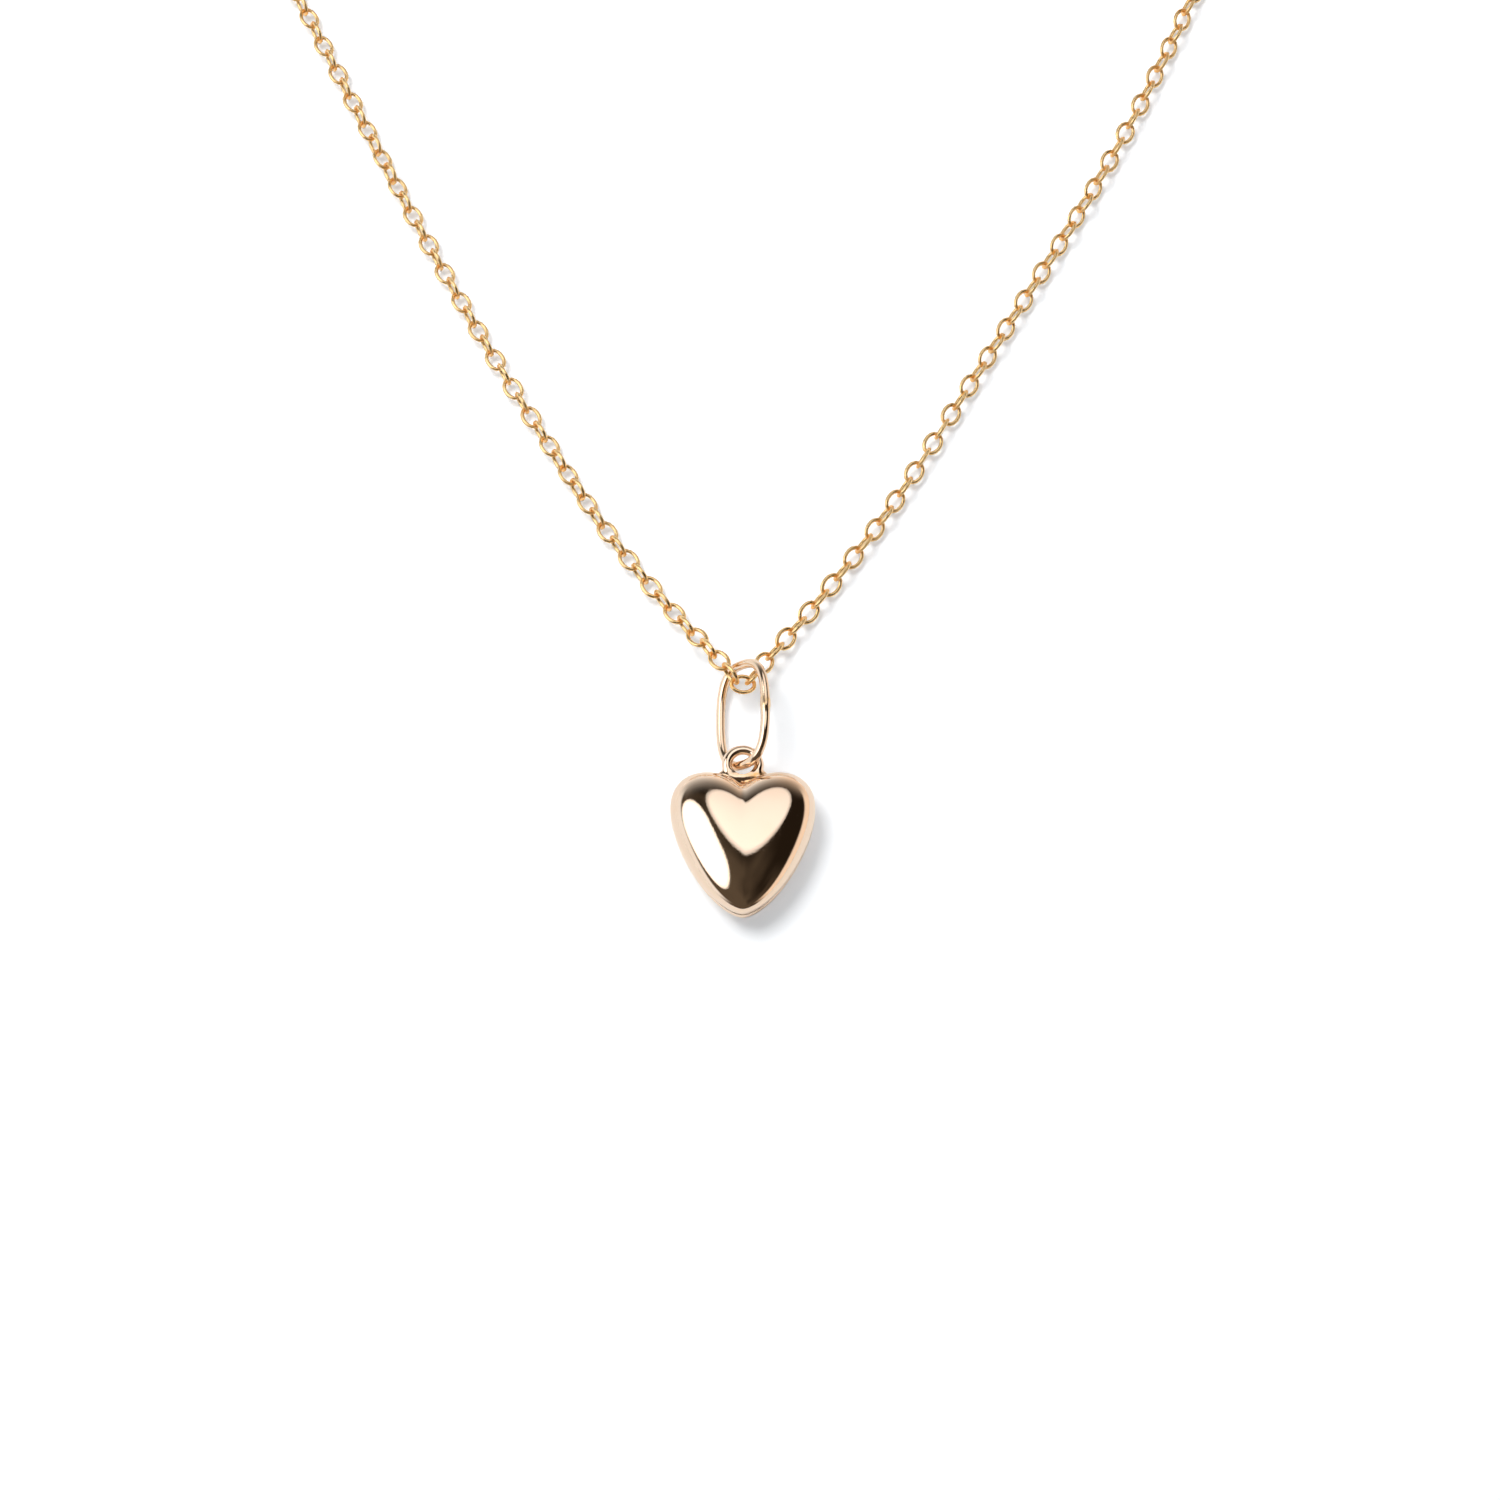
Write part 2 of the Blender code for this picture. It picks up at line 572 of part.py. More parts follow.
def main():
    """Build the whole necklace."""
    clear_scene()
    model = new_collection("pendant_necklace")
    cutters = new_collection("cutters")
    rose = metal("rose_gold", GOLD_ROSE, 0.08)
    yellow = metal("yellow_gold", GOLD_YELLOW, 0.16)
    steel = metal("spring_steel", STEEL, 0.3)

    bail_axis = add_axis("bail_axis", model, Matrix.Translation(BAIL_PIVOT))
    heart_axis = add_axis("heart_axis", model, Matrix.Translation(BAIL_FOOT), bail_axis)
    build_heart(model, cutters, heart_axis, rose)
    build_eyelet(model, cutters, heart_axis, rose)
    build_bail(model, bail_axis, rose)

    build_near_links("left", LEFT_ROUTE, LEFT_ROLL, model, yellow)
    build_near_links("right", RIGHT_ROUTE, RIGHT_ROLL, model, yellow)
    centre = add_object("link_centre", link_curve("link_centre"), model)
    centre.matrix_world = link_matrix(*CENTRE_LINK, 0.0)
    centre.data.materials.append(yellow)

    finish, heading = build_strand("left", LEFT_ROUTE, model, yellow)
    crossing = build_end_link("left", finish, heading, model, yellow)
    jump_axis, jump_centre, up = build_ring("jump_ring", crossing, heading, JUMP_RADIUS, model, yellow)
    build_clasp(jump_axis, jump_centre, up, heading, model, cutters, yellow, steel)

    finish, heading = build_strand("right", RIGHT_ROUTE, model, yellow)
    crossing = build_end_link("right", finish, heading, model, yellow)
    build_ring("end_ring", crossing, heading, END_RING_RADIUS, model, yellow)


main()
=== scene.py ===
"""Finished looks of a fine pendant necklace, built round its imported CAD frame.

A hollow puffed heart hangs from a soldered eyelet and an oval bail on an oval cable chain, which
closes with a spring-ring clasp. Lengths are in metres, in the frame's own axes: +Z up off the
table, +Y from the heart towards the chain.
"""

import json
import logging
import math
from dataclasses import dataclass
from enum import Enum

import bmesh
import bpy
import numpy as np
from mathutils import Euler, Matrix, Vector
from numpy.typing import NDArray


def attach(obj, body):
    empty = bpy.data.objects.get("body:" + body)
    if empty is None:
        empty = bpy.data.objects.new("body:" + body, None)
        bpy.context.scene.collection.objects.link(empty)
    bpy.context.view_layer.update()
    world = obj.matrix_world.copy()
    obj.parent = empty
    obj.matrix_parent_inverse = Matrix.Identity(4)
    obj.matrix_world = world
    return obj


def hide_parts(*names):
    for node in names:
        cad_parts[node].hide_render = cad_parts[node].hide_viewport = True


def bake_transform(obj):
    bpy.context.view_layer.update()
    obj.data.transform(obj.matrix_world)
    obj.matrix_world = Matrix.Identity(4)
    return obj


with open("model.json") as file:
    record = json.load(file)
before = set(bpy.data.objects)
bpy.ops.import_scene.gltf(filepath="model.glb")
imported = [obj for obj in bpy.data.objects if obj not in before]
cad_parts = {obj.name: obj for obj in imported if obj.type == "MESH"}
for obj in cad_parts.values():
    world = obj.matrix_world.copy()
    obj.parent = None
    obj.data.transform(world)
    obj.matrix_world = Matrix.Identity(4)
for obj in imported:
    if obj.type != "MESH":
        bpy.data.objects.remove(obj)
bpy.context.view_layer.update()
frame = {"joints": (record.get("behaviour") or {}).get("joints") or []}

LOG = logging.getLogger("pendant_necklace")
MM = 0.001
GAP = 0.02 * MM
UP = np.array([0.0, 0.0, 1.0])
FULL_TURN = 2 * math.pi
OVAL_STEPS = 720
CURVE_STEPS = 24
SHARP_EDGE = math.radians(40)
# The marks are real solder on the heart, bail, rings and clasp eye, and painted contact shade at
# the ends of the chain's links.
MARKS = "solder"

Grid = NDArray[np.float64]
Colour = tuple[float, float, float]


# --- meshes --------------------------------------------------------------------------------------


class Ends(Enum):
    """What the first and last rows of a grid of points do."""

    JOINED = "the last row runs on into the first, as on a ring"
    POLES = "each end row closes onto a point in its middle"


class Draft:
    """A mesh in the making, from grids whose columns run round the piece."""

    def __init__(self, name: str) -> None:
        """Start an empty mesh of that name."""
        self.name = name
        self.points: list[Grid] = []
        self.marks: list[Grid] = []
        self.faces: list[list[int]] = []
        self.total = 0

    def add(self, grid: Grid, ends: Ends, marks: Grid | float = 0.0) -> None:
        """Add one closed surface.

        Neighbouring rows and columns are joined by four-sided faces, and the columns always
        close on themselves.

        Args:
            grid: Points, as rows by columns by 3.
            ends: How the end rows are finished.
            marks: A share from 0 to 1 for each row and column, or one for all of them.
        """
        rows, columns = grid.shape[:2]
        index = np.arange(rows * columns).reshape(rows, columns) + self.total
        after = np.roll(index, -1, axis=0)
        if ends is Ends.POLES:
            index, after = index[:-1], after[:-1]
        quads = np.stack([index, np.roll(index, -1, 1), np.roll(after, -1, 1), after], axis=-1)
        self.faces += quads.reshape(-1, 4).tolist()
        points = grid.reshape(-1, 3)
        shares = np.broadcast_to(marks, (rows, columns)).reshape(-1)
        if ends is Ends.POLES:
            for row, pole in ((index[0], 0), (after[-1], 1)):
                fan = [row, np.roll(row, -1), np.full(columns, self.total + len(points))]
                self.faces += np.stack(fan, axis=-1).tolist()
                middle = grid[-pole].mean(axis=0)
                points = np.concatenate([points, middle[None]])
                shares = np.append(shares, shares[-columns * pole])
        self.points.append(points)
        self.marks.append(shares)
        self.total += len(points)

    def finish(self) -> bpy.types.Object:
        """Make the mesh and its object.

        Returns:
            The new object, smooth, at the origin, with its faces pointing out.
        """
        mesh = bpy.data.meshes.new(self.name)
        mesh.from_pydata(np.concatenate(self.points).tolist(), [], self.faces)
        write_marks(mesh, np.concatenate(self.marks))
        face_outwards(mesh)
        mesh.shade_smooth()
        return add_object(self.name, mesh)


def add_object(name: str, data: bpy.types.ID) -> bpy.types.Object:
    """Make an object that shows this data and put it in the scene."""
    item = bpy.data.objects.new(name, data)
    bpy.context.scene.collection.objects.link(item)
    return item


def write_marks(mesh: bpy.types.Mesh, marks: Grid) -> None:
    """Keep one share from 0 to 1 for each point, which the finishes read as solder; on the chain's
    links it is painted contact shade.
    """
    attribute = mesh.attributes.get(MARKS) or mesh.attributes.new(MARKS, "FLOAT", "POINT")
    attribute.data.foreach_set("value", marks.astype(np.float32))


def face_outwards(mesh: bpy.types.Mesh) -> None:
    """Turn every closed surface's faces outwards."""
    shape = bmesh.new()
    shape.from_mesh(mesh)
    bmesh.ops.recalc_face_normals(shape, faces=shape.faces)
    shape.to_mesh(mesh)
    shape.free()


def read_points(mesh: bpy.types.Mesh) -> Grid:
    """A mesh's points, as rows of 3."""
    points = np.empty(len(mesh.vertices) * 3)
    mesh.vertices.foreach_get("co", points)
    return points.reshape(-1, 3)


def unit(vectors: Grid) -> Grid:
    """Scale vectors to a length of one."""
    return vectors / np.linalg.norm(vectors, axis=-1, keepdims=True)


def round_angles(count: int, shift: float = 0.0) -> Grid:
    """Evenly spaced angles round a full turn, moved on by a share of their spacing."""
    return (np.arange(count) + shift) * FULL_TURN / count


def spokes(degrees: Grid) -> Grid:
    """Unit vectors in the XY plane at these angles from X."""
    angle = np.radians(degrees)
    return np.stack([np.cos(angle), np.sin(angle), np.zeros_like(angle)], axis=-1)


def smoothstep(low: float, high: float, values: Grid) -> Grid:
    """Rise from 0 at low to 1 at high as 3t squared less 2t cubed."""
    share = np.clip((values - low) / (high - low), 0.0, 1.0)
    return share * share * (3 - 2 * share)


def distances(path: Grid) -> Grid:
    """How far along a polyline each of its points lies."""
    steps = np.linalg.norm(np.diff(path, axis=0), axis=1)
    return np.concatenate([[0.0], np.cumsum(steps)])


def at_distances(path: Grid, wanted: Grid) -> Grid:
    """Points of a polyline at the wanted distances along it."""
    along = distances(path)
    return np.stack([np.interp(wanted, along, path[:, axis]) for axis in range(3)], axis=-1)


def oval(half_length: float, half_width: float, count: int, squareness: float = 2.0) -> Grid:
    """Evenly spaced points of a closed oval in the XY plane.

    The outline is the superellipse |x / a| ** n + |y / b| ** n = 1, walked by its angle and then
    spaced evenly along its length.

    Args:
        half_length: a, along X.
        half_width: b, along Y.
        count: How many points to give.
        squareness: n, where 2 is an ellipse.

    Returns:
        The points, as count by 3.
    """
    angle = np.linspace(0.0, FULL_TURN, OVAL_STEPS + 1)
    x = half_length * np.copysign(np.abs(np.cos(angle)) ** (2 / squareness), np.cos(angle))
    y = half_width * np.copysign(np.abs(np.sin(angle)) ** (2 / squareness), np.sin(angle))
    outline = np.stack([x, y, np.zeros_like(x)], axis=-1)
    length = distances(outline)[-1]
    return at_distances(outline, np.arange(count) * length / count)


def section(radius: Grid | float, count: int, flatness: float = 0.0) -> Grid:
    """The section of a drawn wire.

    The section is a circle whose height is less than its width by the flatness.

    Args:
        radius: One radius, or one for each row of the sweep.
        count: Points round the section.
        flatness: The share that the wire's height is rolled down by.

    Returns:
        Pairs of across and up, as rows by count by 2, or count by 2 for one radius.
    """
    angle = round_angles(count)
    ring = np.stack([np.cos(angle), (1 - flatness) * np.sin(angle)], axis=-1)
    return np.asarray(radius)[..., None, None] * ring


def sweep(path: Grid, across: Grid, upward: Grid, profile: Grid) -> Grid:
    """Carry a profile along a path.

    A point of the surface is the path's point, plus the profile's first number times the across
    direction, plus its second number times the upward direction.

    Args:
        path: The centreline, as rows by 3.
        across: Unit vectors, as rows by 3.
        upward: Unit vectors, as rows by 3, or one for them all.
        profile: Pairs, as columns by 2 or as rows by columns by 2.

    Returns:
        The surface, as rows by columns by 3.
    """
    pairs = np.broadcast_to(profile, (len(path), *profile.shape[-2:]))
    upward = np.broadcast_to(upward, path.shape)
    return path[:, None] + pairs[..., :1] * across[:, None] + pairs[..., 1:] * upward[:, None]


def ring_surface(outline: Grid, profile: Grid) -> Grid:
    """Sweep a profile round a closed flat outline; its across direction points outwards."""
    heading = np.roll(outline, -1, axis=0) - np.roll(outline, 1, axis=0)
    across = unit(np.cross(heading, UP))
    return sweep(outline, across, UP, profile)


def placed(grid: Grid, place: Matrix) -> Grid:
    """Move points by a 4 by 4 matrix."""
    matrix = np.array(place)
    return grid @ matrix[:3, :3].T + matrix[:3, 3]


def frame_matrix(origin: Vector, x: Vector, y: Vector, z: Vector) -> Matrix:
    """The matrix that takes the world's axes to these ones."""
    return Matrix.Translation(origin) @ Matrix((x, y, z)).transposed().to_4x4()


def settle(item: bpy.types.Object) -> None:
    """Apply an object's modifiers to its mesh."""
    graph = bpy.context.evaluated_depsgraph_get()
    mesh = bpy.data.meshes.new_from_object(item.evaluated_get(graph))
    item.modifiers.clear()
    mesh.name = item.name
    item.data = mesh
    mesh.shade_smooth()


def cut_with(item: bpy.types.Object, cutter: bpy.types.Object, operation: str) -> None:
    """Apply an exact Boolean to a piece, with another object that is then removed."""
    modifier = item.modifiers.new(cutter.name, "BOOLEAN")
    modifier.operation = operation
    modifier.solver = "EXACT"
    modifier.object = cutter
    settle(item)
    bpy.data.objects.remove(cutter)


# --- the frame's joints --------------------------------------------------------------------------


def joint_place(name: str) -> tuple[Vector, Vector]:
    """Where a joint of the frame is.

    Args:
        name: The joint's name.

    Returns:
        Its point and its unit axis.
    """
    joint = next(item for item in frame["joints"] if item["name"] == name)
    return Vector(joint["pos_m"]), Vector(joint["axis"]).normalized()


def publish(item: bpy.types.Object, body: str, slot: str, *nodes: str) -> bpy.types.Object:
    """Hand a finished piece over to the frame.

    Args:
        item: The piece, at the origin, with its place in its mesh.
        body: The body that it rides on.
        slot: Its material slot in the record; not used.
        nodes: The nodes that it stands for.

    Returns:
        The same piece.
    """
    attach(item, body)
    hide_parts(*nodes)
    LOG.info("%s: %d faces, rides on %s", item.name, len(item.data.polygons), body)
    return item


# --- finishes ------------------------------------------------------------------------------------


class Wiring:
    """Adds and links nodes in one node tree."""

    def __init__(self, tree: bpy.types.NodeTree) -> None:
        """Work on an existing tree."""
        self.tree = tree

    def add(self, kind: str, inputs: dict | None = None, **settings: object) -> bpy.types.Node:
        """Add one node.

        Args:
            kind: The node's type name.
            inputs: For each input's name or number, a value or the socket that feeds it.
            settings: The node's own properties.

        Returns:
            The new node.
        """
        node = self.tree.nodes.new(kind)
        for name, value in settings.items():
            setattr(node, name, value)
        for key, value in (inputs or {}).items():
            if isinstance(value, bpy.types.NodeSocket):
                self.link(value, node.inputs[key])
            else:
                node.inputs[key].default_value = value
        return node

    def link(self, source: bpy.types.NodeSocket, target: bpy.types.NodeSocket) -> None:
        """Feed an input from an output."""
        self.tree.links.new(source, target)

    def math(self, operation: str, *values: object) -> bpy.types.NodeSocket:
        """Add a Math node and return its output."""
        return self.add("ShaderNodeMath", dict(enumerate(values)), operation=operation).outputs[0]

    def ramp(self, value: object, low: float, high: float, start: float, end: float,
             smooth: bool = True) -> bpy.types.NodeSocket:
        """Map a value's range low to high onto start to end and return the output."""
        kind = "SMOOTHSTEP" if smooth else "LINEAR"
        inputs = {0: value, 1: low, 2: high, 3: start, 4: end}
        return self.add("ShaderNodeMapRange", inputs, interpolation_type=kind).outputs[0]

    def noise(self, place: object, scale: object, detail: float) -> bpy.types.NodeSocket:
        """Add a Noise Texture and return its value."""
        inputs = {"Vector": place, "Scale": scale, "Detail": detail}
        return self.add("ShaderNodeTexNoise", inputs).outputs[0]

    def mix(self, share: object, under: object, over: object) -> bpy.types.NodeSocket:
        """Mix two colours and return the output."""
        inputs = {0: share, 6: under, 7: over}
        return self.add("ShaderNodeMix", inputs, data_type="RGBA").outputs[2]


def new_group(name: str, inputs: list[str], outputs: list[str]) -> tuple[Wiring, dict, dict]:
    """Start a shader node group that works at a position.

    Args:
        name: The group's name.
        inputs: The numbers that it takes, after the position.
        outputs: The numbers that it gives.

    Returns:
        The wiring, the input sockets by name, and the output sockets by name.
    """
    tree = bpy.data.node_groups.new(name, "ShaderNodeTree")
    tree.interface.new_socket(name="Position", in_out="INPUT", socket_type="NodeSocketVector")
    for way, labels in (("INPUT", inputs), ("OUTPUT", outputs)):
        for label in labels:
            tree.interface.new_socket(name=label, in_out=way, socket_type="NodeSocketFloat")
    wiring = Wiring(tree)
    source = wiring.add("NodeGroupInput")
    target = wiring.add("NodeGroupOutput")
    return wiring, dict(source.outputs.items()), dict(target.inputs.items())


def build_scratch_group() -> bpy.types.NodeTree:
    """Hairline scratches: thin lines where any of three stretched noises is at its middle."""
    wiring, given, wanted = new_group("hairline_scratches", ["Scale", "Width"], ["Mask"])
    families = []
    for turn, stretch in ((0.6, 14.0), (-0.9, 20.0), (2.0, 9.0)):
        mapping = wiring.add("ShaderNodeMapping", {"Vector": given["Position"],
                                                   "Rotation": (0.0, 0.0, turn),
                                                   "Scale": (1.0, stretch, 1.0)})
        wave = wiring.noise(mapping.outputs[0], given["Scale"], 1.0)
        distance = wiring.math("ABSOLUTE", wiring.math("SUBTRACT", wave, 0.5))
        line = wiring.math("SUBTRACT", 1.0, wiring.math("DIVIDE", distance, given["Width"]))
        families.append(wiring.math("MAXIMUM", line, 0.0))
    strongest = wiring.math("MAXIMUM", families[0], families[1])
    strongest = wiring.math("MAXIMUM", strongest, families[2])
    patch = wiring.ramp(wiring.noise(given["Position"], given["Scale"], 1.0), 0.48, 0.62, 0.0, 1.0)
    wiring.link(wiring.math("MULTIPLY", strongest, patch), wanted["Mask"])
    return wiring.tree


def build_polish_group() -> bpy.types.NodeTree:
    """Hand polishing: cloudy changes of gloss with a fine orange-peel surface."""
    wiring, given, wanted = new_group("hand_polish", ["Cloud Scale", "Peel Scale", "Low", "High"],
                                      ["Roughness", "Cloud", "Peel"])
    cloud = wiring.noise(given["Position"], given["Cloud Scale"], 3.0)
    share = wiring.ramp(cloud, 0.35, 0.7, 0.0, 1.0)
    span = wiring.math("SUBTRACT", given["High"], given["Low"])
    rough = wiring.math("MULTIPLY_ADD", share, span, given["Low"])
    peel = wiring.noise(given["Position"], given["Peel Scale"], 2.0)
    wiring.link(rough, wanted["Roughness"])
    wiring.link(share, wanted["Cloud"])
    wiring.link(peel, wanted["Peel"])
    return wiring.tree


def build_solder_group() -> bpy.types.NodeTree:
    """Solder: small frozen waves and pits where the marks are high. On the chain's links its tint
    paints shade and inter-reflected orange at the contacts.
    """
    wiring, given, wanted = new_group("solder_skin", ["Scale", "Share"], ["Height", "Tint"])
    waves = wiring.noise(given["Position"], given["Scale"], 3.0)
    inputs = {"Vector": given["Position"], "Scale": given["Scale"]}
    cells = wiring.add("ShaderNodeTexVoronoi", inputs, feature="SMOOTH_F1")
    surface = wiring.math("ADD", waves, wiring.math("MULTIPLY", cells.outputs["Distance"], 0.5))
    tint = wiring.ramp(surface, 0.55, 0.95, 1.0, 0.25)
    wiring.link(wiring.math("MULTIPLY", surface, given["Share"]), wanted["Height"])
    wiring.link(wiring.math("MULTIPLY", tint, given["Share"]), wanted["Tint"])
    return wiring.tree


def build_edge_wear_group() -> bpy.types.NodeTree:
    """Worn edges and painted shade, from the geometry's pointiness: how much a surface stands
    proud, and how far it sinks into a hollow, where shade is painted.
    """
    wiring, given, wanted = new_group("edge_wear", ["Scale", "Pointiness"], ["Wear", "Recess"])
    patches = wiring.noise(given["Position"], given["Scale"], 2.0)
    breakup = wiring.ramp(patches, 0.35, 0.65, 0.5, 1.0)
    worn = wiring.ramp(given["Pointiness"], 0.505, 0.6, 0.0, 1.0)
    # Painted shade: hollows and crevices are marked to take the darker shade colour.
    painted_shade = wiring.ramp(given["Pointiness"], 0.495, 0.42, 0.0, 1.0)
    wiring.link(wiring.math("MULTIPLY", worn, breakup), wanted["Wear"])
    wiring.link(wiring.math("MULTIPLY", painted_shade, breakup), wanted["Recess"])
    return wiring.tree


@dataclass(frozen=True)
class MetalFinish:
    """One polished metal, with its scratches, orange peel, solder, tarnish clouds, and painted
    shade in its recesses and at the chain's link contacts.

    Scales count features a metre, and depths are in metres.
    """

    name: str
    metal: Colour
    recess: Colour
    solder: Colour
    gloss: tuple[float, float]
    cloud_scale: float = 320.0
    peel_scale: float = 9000.0
    peel_depth: float = 0.0
    scratch_scale: float = 420.0
    scratch_width: float = 0.012
    scratch_depth: float = 0.0
    scratch_haze: float = 0.12
    solder_scale: float = 3200.0
    solder_depth: float = 0.0
    solder_haze: float = 0.14
    wear_haze: float = 0.04
    tarnish: float = 0.12

    def make(self, groups: dict[str, bpy.types.NodeTree]) -> bpy.types.Material:
        """Build the material.

        Args:
            groups: The shared node groups by name.

        Returns:
            The material.
        """
        material = bpy.data.materials.new(self.name)
        material.use_nodes = True
        wiring = Wiring(material.node_tree)
        shader = material.node_tree.nodes["Principled BSDF"]
        shader.inputs["Metallic"].default_value = 1.0
        place = wiring.add("ShaderNodeTexCoord").outputs["Object"]
        marks = wiring.add("ShaderNodeAttribute", attribute_name=MARKS).outputs["Fac"]

        def effect(name: str, inputs: dict) -> bpy.types.bpy_prop_collection:
            """Place one shared group and return its outputs."""
            inputs = {"Position": place, **inputs}
            return wiring.add("ShaderNodeGroup", inputs, node_tree=groups[name]).outputs

        polish = effect("hand_polish", {"Cloud Scale": self.cloud_scale,
                                        "Peel Scale": self.peel_scale,
                                        "Low": self.gloss[0], "High": self.gloss[1]})
        scratches = effect("hairline_scratches", {"Scale": self.scratch_scale,
                                                  "Width": self.scratch_width})
        solder = effect("solder_skin", {"Scale": self.solder_scale, "Share": marks})
        pointiness = wiring.add("ShaderNodeNewGeometry").outputs["Pointiness"]
        wear_and_shade = effect("edge_wear", {"Scale": self.cloud_scale, "Pointiness": pointiness})

        # Tarnish clouds are random tone; the recess share from pointiness is painted shade. Both
        # pull the base towards the shade colour.
        tarnish = wiring.math("MULTIPLY", polish["Cloud"], self.tarnish)
        deep = wiring.math("MAXIMUM", tarnish, wear_and_shade["Recess"])
        base = wiring.mix(deep, (*self.metal, 1.0), (*self.recess, 1.0))
        # The solder colour goes where the marks are high: real solder on the findings, and on the
        # chain's links painted shade and inter-reflected orange where they touch.
        base = wiring.mix(solder["Tint"], base, (*self.solder, 1.0))
        wiring.link(base, shader.inputs["Base Color"])

        rough = wiring.math("MULTIPLY_ADD", scratches["Mask"], self.scratch_haze,
                            polish["Roughness"])
        rough = wiring.math("MULTIPLY_ADD", marks, self.solder_haze, rough)
        rough = wiring.math("MULTIPLY_ADD", wear_and_shade["Wear"], self.wear_haze, rough)
        wiring.link(rough, shader.inputs["Roughness"])

        peel = wiring.math("MULTIPLY", polish["Peel"], self.peel_depth)
        cuts = wiring.math("MULTIPLY", scratches["Mask"], -self.scratch_depth)
        waves = wiring.math("MULTIPLY", solder["Height"], self.solder_depth)
        height = wiring.math("ADD", wiring.math("ADD", peel, cuts), waves)
        bump = wiring.add("ShaderNodeBump", {"Height": height, "Distance": 1.0, "Strength": 1.0})
        wiring.link(bump.outputs["Normal"], shader.inputs["Normal"])
        return material


HEART_POLISH = MetalFinish(
    name="mirror_polished_gold", metal=(0.95, 0.755, 0.585), recess=(0.90, 0.56, 0.30),
    solder=(0.90, 0.52, 0.20), gloss=(0.04, 0.075), peel_scale=11000.0, peel_depth=1.1e-6,
    scratch_haze=0.015, solder_depth=18e-6)
BAIL_POLISH = MetalFinish(
    name="drawn_wire_gold", metal=(0.94, 0.73, 0.54), recess=(0.86, 0.50, 0.24),
    solder=(0.92, 0.64, 0.36), gloss=(0.07, 0.14), peel_depth=0.5e-6, scratch_depth=0.4e-6,
    solder_depth=20e-6)
# On the chain the solder colour is painted shade and inter-reflected orange where the links touch,
# and its recess colour is painted shade in hollows as well as tarnish.
CHAIN_POLISH = MetalFinish(
    name="tumbled_yellow_gold", metal=(1.0, 0.72, 0.36), recess=(1.0, 0.50, 0.12),
    solder=(1.0, 0.50, 0.12), gloss=(0.20, 0.30), cloud_scale=700.0, peel_depth=0.9e-6,
    scratch_depth=0.5e-6, solder_depth=4e-6)
CLASP_POLISH = MetalFinish(
    name="pressed_yellow_gold", metal=(0.97, 0.74, 0.44), recess=(0.84, 0.45, 0.14),
    solder=(0.90, 0.55, 0.22), gloss=(0.07, 0.16), peel_depth=0.5e-6, scratch_depth=0.8e-6,
    solder_depth=14e-6)
SPRING_STEEL = MetalFinish(
    name="bright_spring_wire", metal=(0.62, 0.61, 0.60), recess=(0.30, 0.29, 0.28),
    solder=(0.55, 0.54, 0.52), gloss=(0.18, 0.32), peel_depth=0.6e-6, scratch_depth=0.6e-6)


class Finishes:
    """Every finish of the necklace, made once and shared by its pieces."""

    def __init__(self) -> None:
        """Build the shared groups and then the materials."""
        groups = {tree.name: tree for tree in (
            build_scratch_group(), build_polish_group(), build_solder_group(),
            build_edge_wear_group())}
        self.materials = {finish: finish.make(groups) for finish in (
            HEART_POLISH, BAIL_POLISH, CHAIN_POLISH, CLASP_POLISH, SPRING_STEEL)}

    def dress(self, item: bpy.types.Object, finish: MetalFinish) -> bpy.types.Object:
        """Give a piece its finish and return it."""
        item.data.materials.clear()
        item.data.materials.append(self.materials[finish])
        return item


# --- pendant -------------------------------------------------------------------------------------


